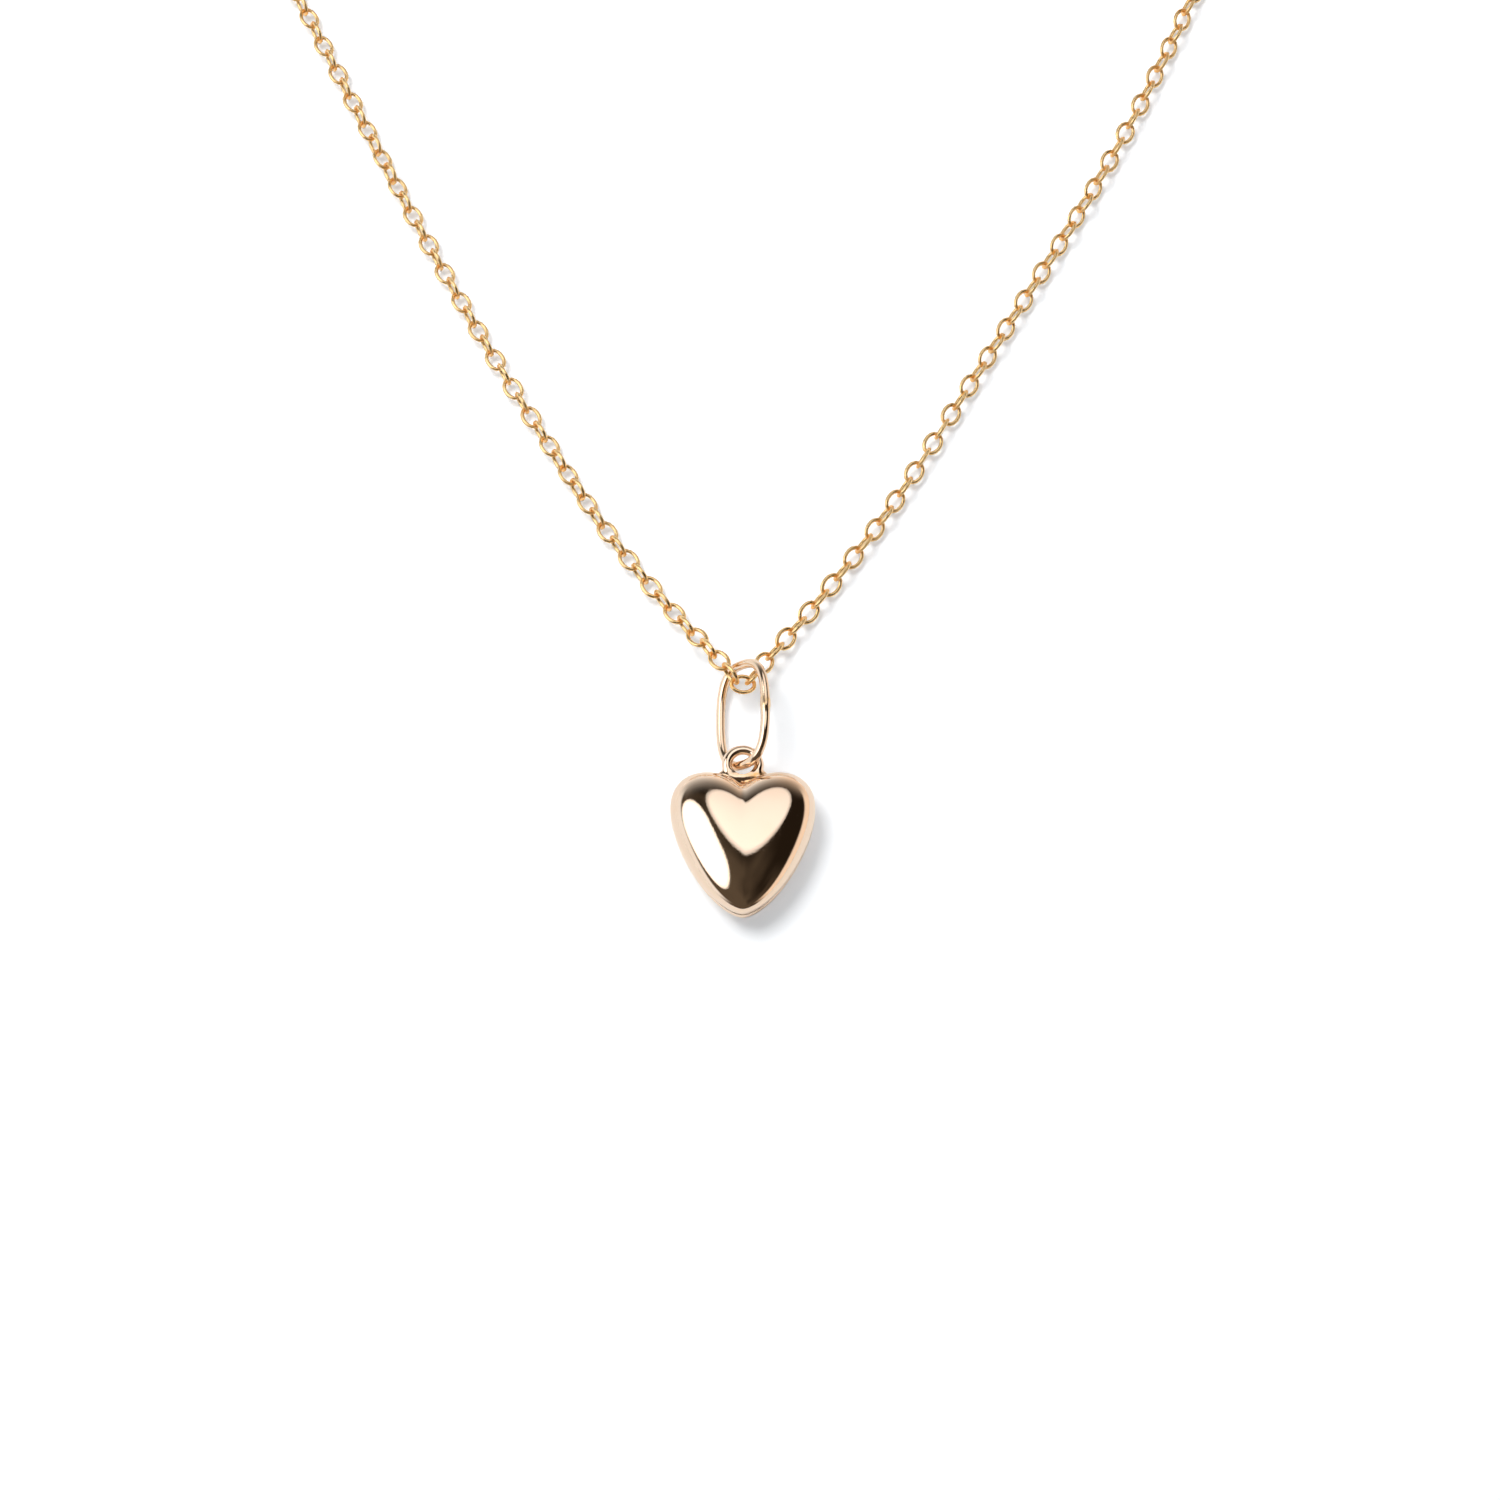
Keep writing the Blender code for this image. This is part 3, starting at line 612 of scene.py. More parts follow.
@dataclass
class PuffedHeart:
    """The hollow heart: two stamped shells, and the eyelet that is soldered into its cleft."""

    half_width: float = 4.9 * MM
    half_height: float = 4.55 * MM
    skew: float = 0.45 * MM
    lobe_rise: float = 2.4 * MM
    half_depth: float = 2.15 * MM
    wall: float = 0.3 * MM
    land_depth: float = 0.05 * MM
    fullness: float = 0.84
    tip_fullness: float = 0.5
    cleft_power: float = 0.68
    tip_power: float = 1.4
    crease: float = 0.04
    seam_width: float = 0.09 * MM
    seam_depth: float = 0.05 * MM
    eyelet_centre: Vector = Vector((0.0, 5.52, 2.1)) * MM
    eyelet_radius: float = 1.08 * MM
    eyelet_wire: float = 0.345 * MM
    foot_centre: Vector = Vector((0.0, 4.75, 2.1)) * MM
    foot_radii: Vector = Vector((1.74, 0.62, 0.42)) * MM
    flow_height: float = 5.15 * MM
    flow_fade: float = 0.35 * MM
    flow_rounds: int = 45
    melt_size: float = 0.035 * MM
    solder_fade: tuple[float, float] = (5.2 * MM, 4.7 * MM)
    solder_aside: float = 0.7 * MM

    @property
    def seam_height(self) -> float:
        """How high over the table the seam between the shells is."""
        return self.half_depth - self.land_depth

    def dome(self, polar: Grid, turn: Grid, grow: float | Grid) -> Grid:
        """Points of the puffed heart.

        A point of the unit sphere is pushed out towards a boxier dome by a power of its distance
        from the pole's axis and another of its height, which is stronger at the tip. It is then
        sheared up at both sides by a power of its sideways distance, which makes the lobes and
        the cleft.

        Args:
            polar: Angles from the front pole, one for each row.
            turn: Angles round the heart, one for each column.
            grow: How far the surface stands outside the heart's own, one or one for each row.

        Returns:
            The points, as rows by columns by 3.
        """
        reach = np.sin(polar)[:, None] ** self.fullness
        u = reach * np.cos(turn)[None]
        v = reach * np.sin(turn)[None]
        height = np.cos(polar)[:, None]
        boxing = self.fullness + (self.tip_fullness - self.fullness) * np.maximum(-v, 0.0) ** 4
        w = np.copysign(np.abs(height) ** boxing, height)
        power = self.cleft_power + (self.tip_power - self.cleft_power) * (1 - v) / 2
        floor = self.crease ** power
        lift = (np.hypot(u, self.crease) ** power - floor) / (1 - floor)
        out = np.broadcast_to(np.asarray(grow), polar.shape)[:, None]
        x = (self.half_width + out) * u
        y = (self.half_height + out) * v - self.skew * v * v + self.lobe_rise * lift
        z = self.seam_height + (self.half_depth + out) * w
        return np.stack([x, y, z], axis=-1)

    def shell(self, name: str, front: bool) -> bpy.types.Object:
        """One stamped shell.

        The rows run from the pole over the outside to the seam, closer together as they dip into
        its groove, across the wall, and back over the inside with every third of them.

        Args:
            name: The piece's name.
            front: Whether it is the front shell.

        Returns:
            The shell.
        """
        on_dome, by_seam = np.linspace(0.01, 1.30, 74), np.linspace(1.32, math.pi / 2, 34)
        polar = np.concatenate([on_dome, by_seam])
        turn = round_angles(256, 0.5)
        if not front:
            polar = math.pi - polar
        rise = np.abs(np.cos(polar)) ** self.fullness * self.half_depth
        outer = self.dome(polar, turn, -self.seam_depth * np.exp(-(rise / self.seam_width) ** 2))
        inner = self.dome(polar, turn, -self.wall)[::-3]
        grid = np.concatenate([outer, inner])
        if front:
            lowest, highest = self.seam_height + GAP / 2, np.inf
        else:
            lowest, highest = 0.0, self.seam_height - GAP / 2
        grid[..., 2] = np.clip(grid[..., 2], lowest, highest)
        inside = grid[len(outer):]
        inside[..., 2] = np.maximum(inside[..., 2], self.wall)
        draft = Draft(name)
        draft.add(grid, Ends.POLES)
        return draft.finish()

    def eyelet(self) -> bpy.types.Object:
        """The eyelet: a wire ring and a solder foot, melted together and cut to the heart.

        The ring is an oval section carried round a circle, and the foot is a lump whose radius
        swells and shrinks a little with its angles. A voxel remesh joins them, and smoothing
        rounds their joint like solder.
        """
        draft = Draft("heart_eyelet_ring")
        outline = oval(self.eyelet_radius, self.eyelet_radius, 96)
        angle = np.arctan2(outline[:, 1], outline[:, 0])
        wire = self.eyelet_wire * (1 + 0.05 * np.cos(2 * angle + 0.6))
        ring = ring_surface(outline, section(wire, 32, 0.03))
        draft.add(placed(ring, Matrix.Translation(self.eyelet_centre)), Ends.JOINED)

        polar = np.linspace(0.05, math.pi - 0.05, 40)[:, None]
        turn = round_angles(64)[None]
        swell = 1 + 0.05 * np.sin(3 * turn + 1.0) * np.sin(polar)
        swell = swell + 0.04 * np.sin(5 * polar + 2 * turn)
        ball = np.stack([np.cos(polar) + 0 * turn, np.sin(polar) * np.cos(turn),
                         np.sin(polar) * np.sin(turn)], axis=-1) * swell[..., None]
        foot = ball * np.array(self.foot_radii) + np.array(self.foot_centre)
        draft.add(foot, Ends.POLES)
        eyelet = draft.finish()
        remesh = eyelet.modifiers.new("melt", "REMESH")
        remesh.mode = "VOXEL"
        remesh.voxel_size = self.melt_size
        settle(eyelet)
        self.flow(eyelet.data)

        bore = Draft("eyelet_bore")
        hole_radius = self.eyelet_radius - self.eyelet_wire
        hole = oval(hole_radius, hole_radius, 96)
        wall = hole[None] + np.array([-1.0, 1.0])[:, None, None] * UP * self.eyelet_radius
        bore.add(wall + np.array(self.eyelet_centre), Ends.POLES)
        cut_with(eyelet, bore.finish(), "DIFFERENCE")

        cradle = Draft("cleft_cradle")
        polar = np.linspace(0.02, math.pi - 0.02, 90)
        cradle.add(self.dome(polar, round_angles(160, 0.5), GAP), Ends.POLES)
        cut_with(eyelet, cradle.finish(), "DIFFERENCE")
        self.mark_solder(eyelet)
        return eyelet

    def flow(self, mesh: bpy.types.Mesh) -> None:
        """Let the solder flow: move each point part of the way to its neighbours' mean.

        The part is 0.5 low down, where the foot meets the ring, and fades to a sixth of that on
        the rest of the ring.
        """
        points = read_points(mesh)
        edges = np.empty(len(mesh.edges) * 2, dtype=np.int32)
        mesh.edges.foreach_get("vertices", edges)
        start, end = edges.reshape(-1, 2).T
        number = np.bincount(edges, minlength=len(points))[:, None]
        low = smoothstep(self.flow_height + self.flow_fade, self.flow_height, points[:, 1])[:, None]
        share = 0.5 * (1 + 5 * low) / 6
        for _ in range(self.flow_rounds):
            total = np.stack([np.bincount(start, points[end, axis], len(points))
                              + np.bincount(end, points[start, axis], len(points))
                              for axis in range(3)], axis=-1)
            points += share * (total / number - points)
        mesh.vertices.foreach_set("co", points.reshape(-1))
        mesh.update()

    def mark_solder(self, eyelet: bpy.types.Object) -> None:
        """Mark the foot, most on its lower right, by height and side."""
        points = read_points(eyelet.data)
        low = smoothstep(*self.solder_fade, points[:, 1])
        aside = 0.35 + 0.65 * smoothstep(0.0, self.solder_aside, points[:, 0])
        write_marks(eyelet.data, low * aside)

    def build(self, finishes: Finishes) -> None:
        """Build the heart's three pieces."""
        for side in ("front", "back"):
            shell = self.shell(f"heart_{side}", side == "front")
            finishes.dress(shell, HEART_POLISH)
            publish(shell, "heart", "heart_gold", f"heart_{side}_shell")
        eyelet = self.eyelet()
        finishes.dress(eyelet, HEART_POLISH)
        publish(eyelet, "heart", "heart_gold", "heart_eyelet")


@dataclass
class Bail:
    """The oval ring that the chain runs through, soldered shut on its upper limb."""

    centre: Vector = Vector((0.0, 9.135, 2.1)) * MM
    half_length: float = 3.585 * MM
    half_width: float = 2.15 * MM
    squareness: float = 2.7
    wire: float = 0.325 * MM
    lean: float = math.radians(45)
    solder_at: float = 0.30 * MM
    solder_reach: float = 0.40 * MM
    solder_swell: float = 0.26

    def build(self, finishes: Finishes) -> None:
        """Sweep the wire round the oval, swollen at the solder, and lean it over.

        The solder is a lump whose height falls off as a bell curve along the wire and leans to
        one side round it, with a slow ripple both ways.
        """
        outline = oval(self.half_width, self.half_length, 240, self.squareness)
        around = round_angles(32)[None]
        along = (outline[:, 1:2] - self.solder_at) / self.solder_reach
        shift = 0.35 * np.sin(around + 0.5)
        near = np.where(outline[:, :1] > 0, np.exp(-(along + shift) ** 2), 0.0)
        lump = near * (0.62 + 0.30 * np.cos(around - 0.9) + 0.12 * np.sin(3 * around + 2.6 * along))
        solder = near.max(axis=1)
        profile = section(self.wire, 32, 0.04) * (1 + self.solder_swell * lump)[..., None]
        draft = Draft("bail_wire")
        ring = ring_surface(outline, profile)
        place = Matrix.Translation(self.centre) @ Matrix.Rotation(-self.lean, 4, "Y")
        draft.add(placed(ring, place), Ends.JOINED, solder[:, None])
        bail = finishes.dress(draft.finish(), BAIL_POLISH)
        publish(bail, "bail", "bail_gold", "bail_ring")


# --- chain ---------------------------------------------------------------------------------------


LEFT_ROUTE = np.array([
    (-0.46, 11.53, 2.24), (-1.28, 12.62, 2.2), (-2.1, 13.68, 1.9), (-3.0, 14.8, 1.42),
    (-4.15, 16.2, 0.97), (-5.5, 17.85, 0.75), (-7.8, 20.75, 0.72), (-10.7, 24.85, 0.72),
    (-15.6, 32.8, 0.72), (-19.2, 39.0, 0.72), (-22.9, 45.8, 0.72), (-26.4, 52.6, 0.72),
    (-29.7, 59.2, 0.72), (-32.5, 64.8, 0.72),
]) * MM
RIGHT_ROUTE = np.array([
    (0.4, 11.52, 2.02), (1.13, 12.62, 1.68), (1.93, 13.7, 1.25), (3.2, 15.35, 0.86),
    (4.8, 17.35, 0.72), (7.95, 21.5, 0.72), (11.0, 25.9, 0.72), (15.3, 33.0, 0.72),
    (19.8, 40.4, 0.72), (24.5, 48.3, 0.72), (28.2, 55.1, 0.72), (31.4, 61.7, 0.72),
    (32.8, 64.9, 0.72),
]) * MM


CORD_LINK_MESH = (14, 6)
NEAR_LINK_MESH = (48, 16)


@dataclass
class CableLink:
    """One link of the chain: an oval of drawn wire, worn a little at its ends."""

    pitch: float = 1.28 * MM
    wire: float = 0.145 * MM
    half_width: float = 0.565 * MM
    rolled_down: float = 0.05
    worn_from: float = 0.72
    worn_thin: float = 0.04
    # Share of painted contact shade, inter-reflected orange, at the link's ends.
    worn_marks: float = 0.8

    @property
    def half_length(self) -> float:
        """Half the length of the wire's centreline."""
        return self.pitch / 2 + self.wire + GAP / 2

    @property
    def overhang(self) -> float:
        """How far a link reaches past its joint with the next one."""
        return self.half_length - self.pitch / 2 + self.wire

    def surface(self, along: int, around: int) -> tuple[Grid, Grid]:
        """The link's surface and its marks.

        The wire is swept round an ellipse. It is a little thinner where its neighbours have worn
        it, at both ends, and the marks rise there from 0 on the limbs; they paint shade and
        inter-reflected orange where the links touch.

        Args:
            along: Rows along the wire.
            around: Points round its section.

        Returns:
            The surface, long way along X, and one mark for each row.
        """
        outline = oval(self.half_length, self.half_width, along)
        ends = np.abs(outline[:, 0]) / self.half_length
        worn = smoothstep(self.worn_from, 1.0, ends)
        profile = section(self.wire * (1 - self.worn_thin * worn), around, self.rolled_down)
        return ring_surface(outline, profile), (self.worn_marks * worn)[:, None]


def link_place(centre: Vector, along: Vector, roll: float) -> Matrix:
    """A link's matrix, from its middle, the way that it runs and its roll about that way."""
    side = Vector((0.0, 0.0, 1.0)).cross(along).normalized()
    turn = frame_matrix(centre, along, side, along.cross(side))
    return turn @ Matrix.Rotation(roll, 4, "X")


class Side(Enum):
    """The two sides of the necklace, by the sign of their X."""

    LEFT = -1
    RIGHT = 1

    @property
    def word(self) -> str:
        """The side's name in the frame's node names."""
        return self.name.lower()


@dataclass
class Strand:
    """One side of the chain: the links by the bail, the laid strand, its coil and its end."""

    side: Side
    route: Grid
    roll: float
    link: CableLink
    near_links: int = 8
    diameter: float = 1.4 * MM
    table_height: float = 0.72 * MM
    coil_centre: tuple[float, float] = (29.7 * MM, 75.5 * MM)
    coil_radius: float = 7.25 * MM
    coil_lane: float = 1.5 * MM
    coil_level: float = 1.48 * MM
    coil_turns: float = 3.4
    lane_in: tuple[float, float] = (0.88, 0.98)
    layer_up: tuple[float, float] = (1.78, 1.88)
    lane_out: tuple[float, float] = (2.68, 2.78)
    tail_end: float = 10.4 * MM
    wander: float = 0.22

    def laid_path(self) -> Grid:
        """A Catmull-Rom curve through the route's points.

        Between two points it is the cubic whose slope at each is half the way between that
        point's neighbours.
        """
        knots = np.concatenate([[2 * self.route[0] - self.route[1]], self.route,
                                [2 * self.route[-1] - self.route[-2]]])
        share = (np.arange(CURVE_STEPS) / CURVE_STEPS)[None, :, None]
        count = len(knots) - 3
        before, start, end, after = (knots[first:first + count, None] for first in range(4))
        curve = 0.5 * (2 * start + (end - before) * share
                       + (2 * before - 5 * start + 4 * end - after) * share ** 2
                       + (3 * start - before - 3 * end + after) * share ** 3)
        return np.concatenate([curve.reshape(-1, 3), self.route[-1:]])

    def coil_path(self) -> tuple[Grid, Grid]:
        """The coil and the tail that leaves it.

        The chain winds in two lanes and two layers. It goes in a lane near the end of the first
        turn, up a layer near the end of the second, and out a lane before the third ends.

        Returns:
            The coil's points, and the tail's.
        """
        sign = self.side.value
        centre = np.array([sign * self.coil_centre[0], self.coil_centre[1]])
        outer = self.coil_radius + self.coil_lane / 2
        offset = self.route[-1, :2] - centre
        entry = math.atan2(offset[1], offset[0]) + sign * math.acos(outer / np.hypot(*offset))
        turns = np.linspace(0.0, self.coil_turns, 240)
        lane = 0.5 - smoothstep(*self.lane_in, turns) + smoothstep(*self.lane_out, turns)
        radius = self.coil_radius + self.coil_lane * lane
        angle = entry + sign * FULL_TURN * turns
        height = self.table_height + self.coil_level * smoothstep(*self.layer_up, turns)
        coil = np.stack([centre[0] + radius * np.cos(angle), centre[1] + radius * np.sin(angle),
                         height], axis=-1)
        heading = sign * np.array([-math.sin(angle[-1]), math.cos(angle[-1]), 0.0])
        last = self.tail_end + self.link.overhang + GAP
        reach = np.linspace(0.2 * MM, last, 24)
        drop = np.minimum(reach / self.tail_end, 1.0)
        fall = self.coil_level * (0.5 - 0.5 * np.cos(math.pi * drop))
        tail = coil[-1] + reach[:, None] * heading - fall[:, None] * UP
        return coil, tail

    def cord_path(self) -> Grid:
        """The whole way from the last near link to the end link."""
        coil, tail = self.coil_path()
        whole = np.concatenate([self.laid_path(), coil, tail])
        along = distances(whole)
        start = self.near_links * self.link.pitch
        return at_distances(whole, np.linspace(start, along[-1], 420))

    def rolls(self, along: Grid, count: int) -> Grid:
        """Each link's roll: a quarter turn on from the last one's, over a slow twist.

        The twist wanders a little on the table, goes to an eighth of a turn in the coil, and
        ends so that the last link stands across the flat end link.
        """
        length = along[-1]
        quarter, eighth = math.pi / 2, math.pi / 4
        last_twist = 0.0 if (self.near_links + count) % 2 else quarter
        stops = np.array([0.0, 0.05, 0.24, 0.32, 0.95, 1.0]) * length
        twists = [self.roll, self.roll, self.roll + 0.1, eighth, eighth, last_twist]
        twist = np.interp(along, stops, twists)
        wave = np.sin(along / (3.1 * MM) + self.side.value) * np.sin(along / (7.7 * MM))
        fade = smoothstep(0.0, 6 * MM, along) * (1 - smoothstep(0.9 * length, 0.95 * length, along))
        number = self.near_links + 1 + np.arange(count)
        return twist + self.wander * wave * fade + quarter * (number % 2)

    def strand_piece(self, finishes: Finishes) -> bpy.types.Object:
        """Every link past the near ones, in one mesh.

        Each link's points are the plain link's, turned so that X runs along the path and Z is
        rolled from the upward side, and moved to its middle.
        """
        path = self.cord_path()
        along = distances(path)
        count = round(along[-1] / self.link.pitch)
        joints = at_distances(path, np.linspace(0.0, along[-1], count + 1))
        ahead = unit(np.diff(joints, axis=0))
        side = unit(np.cross(UP, ahead))
        upward = np.cross(ahead, side)
        middles = (joints[1:] + joints[:-1]) / 2
        roll = self.rolls(distances(middles), count)[:, None]
        rolled_side = np.cos(roll) * side + np.sin(roll) * upward
        rolled_up = np.cos(roll) * upward - np.sin(roll) * side
        axes = np.stack([ahead, rolled_side, rolled_up], axis=1)
        surface, marks = self.link.surface(*CORD_LINK_MESH)
        draft = Draft(f"cable_chain_{self.side.word}")
        for links in np.einsum("rck,nkx->nrcx", surface, axes) + middles[:, None, None]:
            draft.add(links, Ends.JOINED, marks)
        chain = finishes.dress(draft.finish(), CHAIN_POLISH)
        names = [f"chain_{self.side.word}_{part}" for part in ("strand", "coil", "tail")]
        publish(chain, "chain", "chain_gold", *names)
        LOG.info("%s: %d links, %.1f mm", chain.name, count, along[-1] / MM)
        return chain

    def near_pieces(self, finishes: Finishes) -> None:
        """The links beside the bail, each on its own body, where its joint says."""
        for number in range(1, self.near_links + 1):
            name = f"link_{self.side.word}_{number:02d}"
            build_link(name, self.roll + math.pi / 2 * (number % 2), self.link, finishes)

    def build(self, finishes: Finishes) -> tuple[bpy.types.Object, bpy.types.Object]:
        """Build this side of the chain and return the strand and its end link."""
        self.near_pieces(finishes)
        chain = self.strand_piece(finishes)
        end = build_link(f"link_{self.side.word}_end", 0.0, self.link, finishes)
        return chain, end


def build_link(name: str, roll: float, link: CableLink, finishes: Finishes) -> bpy.types.Object:
    """One finely made link, in the place of the frame's node of that name.

    Args:
        name: The node's name, which is its body's and, with _roll, its joint's.
        roll: The link's roll about its joint's axis.
        link: The link's sizes.
        finishes: The materials.

    Returns:
        The piece.
    """
    centre, along = joint_place(f"{name}_roll")
    surface, marks = link.surface(*NEAR_LINK_MESH)
    draft = Draft(f"{name}_wire")
    draft.add(placed(surface, link_place(centre, along, roll)), Ends.JOINED, marks)
    piece = finishes.dress(draft.finish(), CHAIN_POLISH)
    return publish(piece, name, "chain_gold", name)


# --- rings and clasp -----------------------------------------------------------------------------


@dataclass
class LeaningRing:
    """A round jump ring that leans through the chain's end link, with its closed butt joint."""

    name: str
    radius: float
    wire: float = 0.2 * MM
    lean: float = math.radians(30)
    butt_at: float = 0.9
    butt_width: float = 0.05
    butt_pinch: float = 0.12

    def axes(self) -> tuple[Vector, Vector, Vector]:
        """The ring's heading, its own upward direction and its centre."""
        crossing, heading = joint_place(f"{self.name}_flop")
        across = Vector((-heading.y, heading.x, 0.0))
        upward = Vector((0, 0, math.cos(self.lean))) + across * math.sin(self.lean)
        height = self.wire + GAP + self.radius * math.cos(self.lean)
        rise = (height - crossing.z) / math.cos(self.lean)
        reach = math.sqrt(self.radius ** 2 - rise ** 2)
        return heading, upward, crossing + heading * reach + upward * rise

    def build(self, finishes: Finishes) -> bpy.types.Object:
        """Sweep the wire round a circle, pinched where its ends butt together."""
        heading, upward, centre = self.axes()
        outline = oval(self.radius, self.radius, 120)
        angle = np.arctan2(outline[:, 1], outline[:, 0])
        butt = np.exp(-((angle - self.butt_at) / self.butt_width) ** 2)
        ring = ring_surface(outline, section(self.wire * (1 - self.butt_pinch * butt), 20))
        draft = Draft(f"{self.name}_wire")
        place = frame_matrix(centre, heading, upward, heading.cross(upward))
        draft.add(placed(ring, place), Ends.JOINED, butt[:, None])
        piece = finishes.dress(draft.finish(), CLASP_POLISH)
        return publish(piece, self.name, "findings_gold", self.name)


@dataclass
class SpringRingClasp:
    """The clasp: hollow tube, eye, sliding bolt with its knob, and the spring behind it.

    Angles are in degrees, anticlockwise from the way that the chain's end points.
    """

    radius: float = 2.15 * MM
    tube: float = 0.6 * MM
    bore: float = 0.42 * MM
    eye_radius: float = 0.72 * MM
    eye_wire: float = 0.17 * MM
    eye_solder: float = 0.08
    opening: tuple[float, float] = (30.0, 80.0)
    bolt: tuple[float, float] = (24.0, 112.0)
    bolt_radius: float = 0.38 * MM
    bolt_nose: float = 6.0
    knob_at: float = 92.0
    knob_pin: float = 0.13 * MM
    knob_radius: float = 0.28 * MM
    knob_reach: float = 0.95 * MM
    slot: tuple[float, float] = (87.0, 147.0)
    slot_half_width: float = 0.18 * MM
    spring_stop: float = 205.0
    socket_depth: float = 9.0
    spring_play: float = 2.5
    spring_radius: float = 0.31 * MM
    spring_wire: float = 0.06 * MM
    spring_turns: int = 10

    def place(self) -> Matrix:
        """The clasp's matrix, with X along the chain's end."""
        centre = joint_place("bolt_slide")[0]
        heading = joint_place("link_left_end_roll")[1]
        turn = Matrix.Rotation(math.atan2(heading.y, heading.x), 4, "Z")
        return Matrix.Translation(centre) @ turn

    def round_bar(self, degrees: Grid, radii: Grid, count: int) -> Grid:
        """A bar of changing radius along the clasp's circle.

        Args:
            degrees: The angle of each row.
            radii: The bar's radius at each row.
            count: Points round its section.

        Returns:
            The surface in the clasp's own axes.
        """
        spoke = spokes(degrees)
        return sweep(spoke * self.radius, spoke, UP, section(radii, count))

    def build_tube(self, finishes: Finishes, place: Matrix) -> bpy.types.Object:
        """The tube, as one skin.

        The rows run from the bottom of the spring's bore out to the opening, over a rounded rim,
        along the outside, over the other rim and into the socket that the bolt closes against.
        """
        rim = np.linspace(0.0, math.pi, 9)
        middle, half = (self.tube + self.bore) / 2, (self.tube - self.bore) / 2
        lip = np.degrees(half / self.radius) * np.sin(rim)
        start, end = self.opening[1], self.opening[0] + 360
        degrees = np.concatenate([
            [self.spring_stop, self.spring_stop], np.linspace(self.spring_stop - 2, start + 4, 40),
            start + 2 - lip, np.linspace(start + 4, end - 4, 120), end - 2 + lip,
            [end - self.socket_depth, end - self.socket_depth]])
        radii = np.concatenate([
            [0.05 * self.bore, self.bore], np.full(40, self.bore),
            middle - half * np.cos(rim), np.full(120, self.tube), middle + half * np.cos(rim),
            [self.bore, 0.05 * self.bore]])
        draft = Draft("clasp_ring_tube")
        draft.add(placed(self.round_bar(degrees, radii, 40), place), Ends.POLES)
        tube = draft.finish()

        slot = Draft("knob_slot")
        spoke = spokes(np.linspace(*self.slot, 40))
        low, high = self.bore / 3, 2 * self.tube
        corners = np.array([(low, -1.0), (high, -1.0), (high, 1.0), (low, 1.0)])
        corners[:, 1] *= self.slot_half_width
        block = sweep(spoke * self.radius, spoke, UP, corners)
        slot.add(placed(block, place), Ends.POLES)
        cut_with(tube, slot.finish(), "DIFFERENCE")
        tube.data.set_sharp_from_angle(angle=SHARP_EDGE)
        finishes.dress(tube, CLASP_POLISH)
        return publish(tube, "clasp", "findings_gold", "clasp_tube")

    def build_bolt(self, finishes: Finishes, place: Matrix) -> bpy.types.Object:
        """The bolt, and the turned knob that stands out through the slot.

        The bolt's nose is a quarter of an ellipse, and its heel is a hollow cone that is 0.3 of a
        radius deep, which the spring pushes on.
        """
        first, last = self.bolt
        rounding = np.linspace(0.12, math.pi / 2, 8)
        widths = np.sin(rounding)
        nose = first + self.bolt_nose * (1 - np.cos(rounding))
        heel = last - 0.3 * np.degrees(self.bolt_radius / self.radius) * (1 - widths[::-1])
        degrees = np.concatenate([nose, np.linspace(first + 8, last - 4, 60), heel])
        radii = self.bolt_radius * np.concatenate([widths, np.ones(60), widths[::-1]])
        draft = Draft("clasp_sliding_bolt")
        draft.add(placed(self.round_bar(degrees, radii, 28), place), Ends.POLES)
        bolt = draft.finish()

        pin, root = self.knob_pin, self.bolt_radius / 2
        stem = np.array([(0.5 * pin, root), (pin, root), (pin, 0.68 * self.knob_reach),
                         (1.25 * pin, 0.74 * self.knob_reach)])
        bulge = np.linspace(-1.1, 1.5, 18)
        ball = np.stack([self.knob_radius * np.cos(bulge),
                         self.knob_reach + self.knob_radius * np.sin(bulge)], axis=-1)
        profile = np.concatenate([stem, ball])
        turn = round_angles(28)
        ring = np.stack([np.zeros_like(turn), np.cos(turn), np.sin(turn)], axis=-1)
        knob_grid = profile[:, :1, None] * ring
        knob_grid[..., 0] += self.radius + profile[:, 1:]
        spoke = Matrix.Rotation(math.radians(self.knob_at), 4, "Z")
        knob = Draft("clasp_knob")
        knob.add(placed(knob_grid, place @ spoke), Ends.POLES)
        cut_with(bolt, knob.finish(), "UNION")
        bolt.data.set_sharp_from_angle(angle=SHARP_EDGE)
        finishes.dress(bolt, CLASP_POLISH)
        return publish(bolt, "clasp_bolt", "findings_gold", "clasp_bolt")

    def build_spring(self, finishes: Finishes, place: Matrix) -> bpy.types.Object:
        """The spring: a wire wound round the bore's centreline, ten turns from bolt to stop.
        """
        count = CURVE_STEPS * self.spring_turns
        first, last = self.bolt[1] + self.spring_play, self.spring_stop - self.spring_play
        spoke = spokes(np.linspace(first, last, count))
        around = np.linspace(0.0, FULL_TURN * self.spring_turns, count)
        outward = np.cos(around)[:, None] * spoke + np.sin(around)[:, None] * UP
        path = self.radius * spoke + self.spring_radius * outward
        heading = unit(np.gradient(path, axis=0))
        side = unit(np.cross(heading, outward))
        draft = Draft("clasp_coil_spring")
        coil = sweep(path, outward, side, section(self.spring_wire, 8))
        draft.add(placed(coil, place), Ends.POLES)
        spring = finishes.dress(draft.finish(), SPRING_STEEL)
        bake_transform(spring)
        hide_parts("clasp_spring")
        LOG.info("%s: bends between clasp and clasp_bolt", spring.name)
        return spring

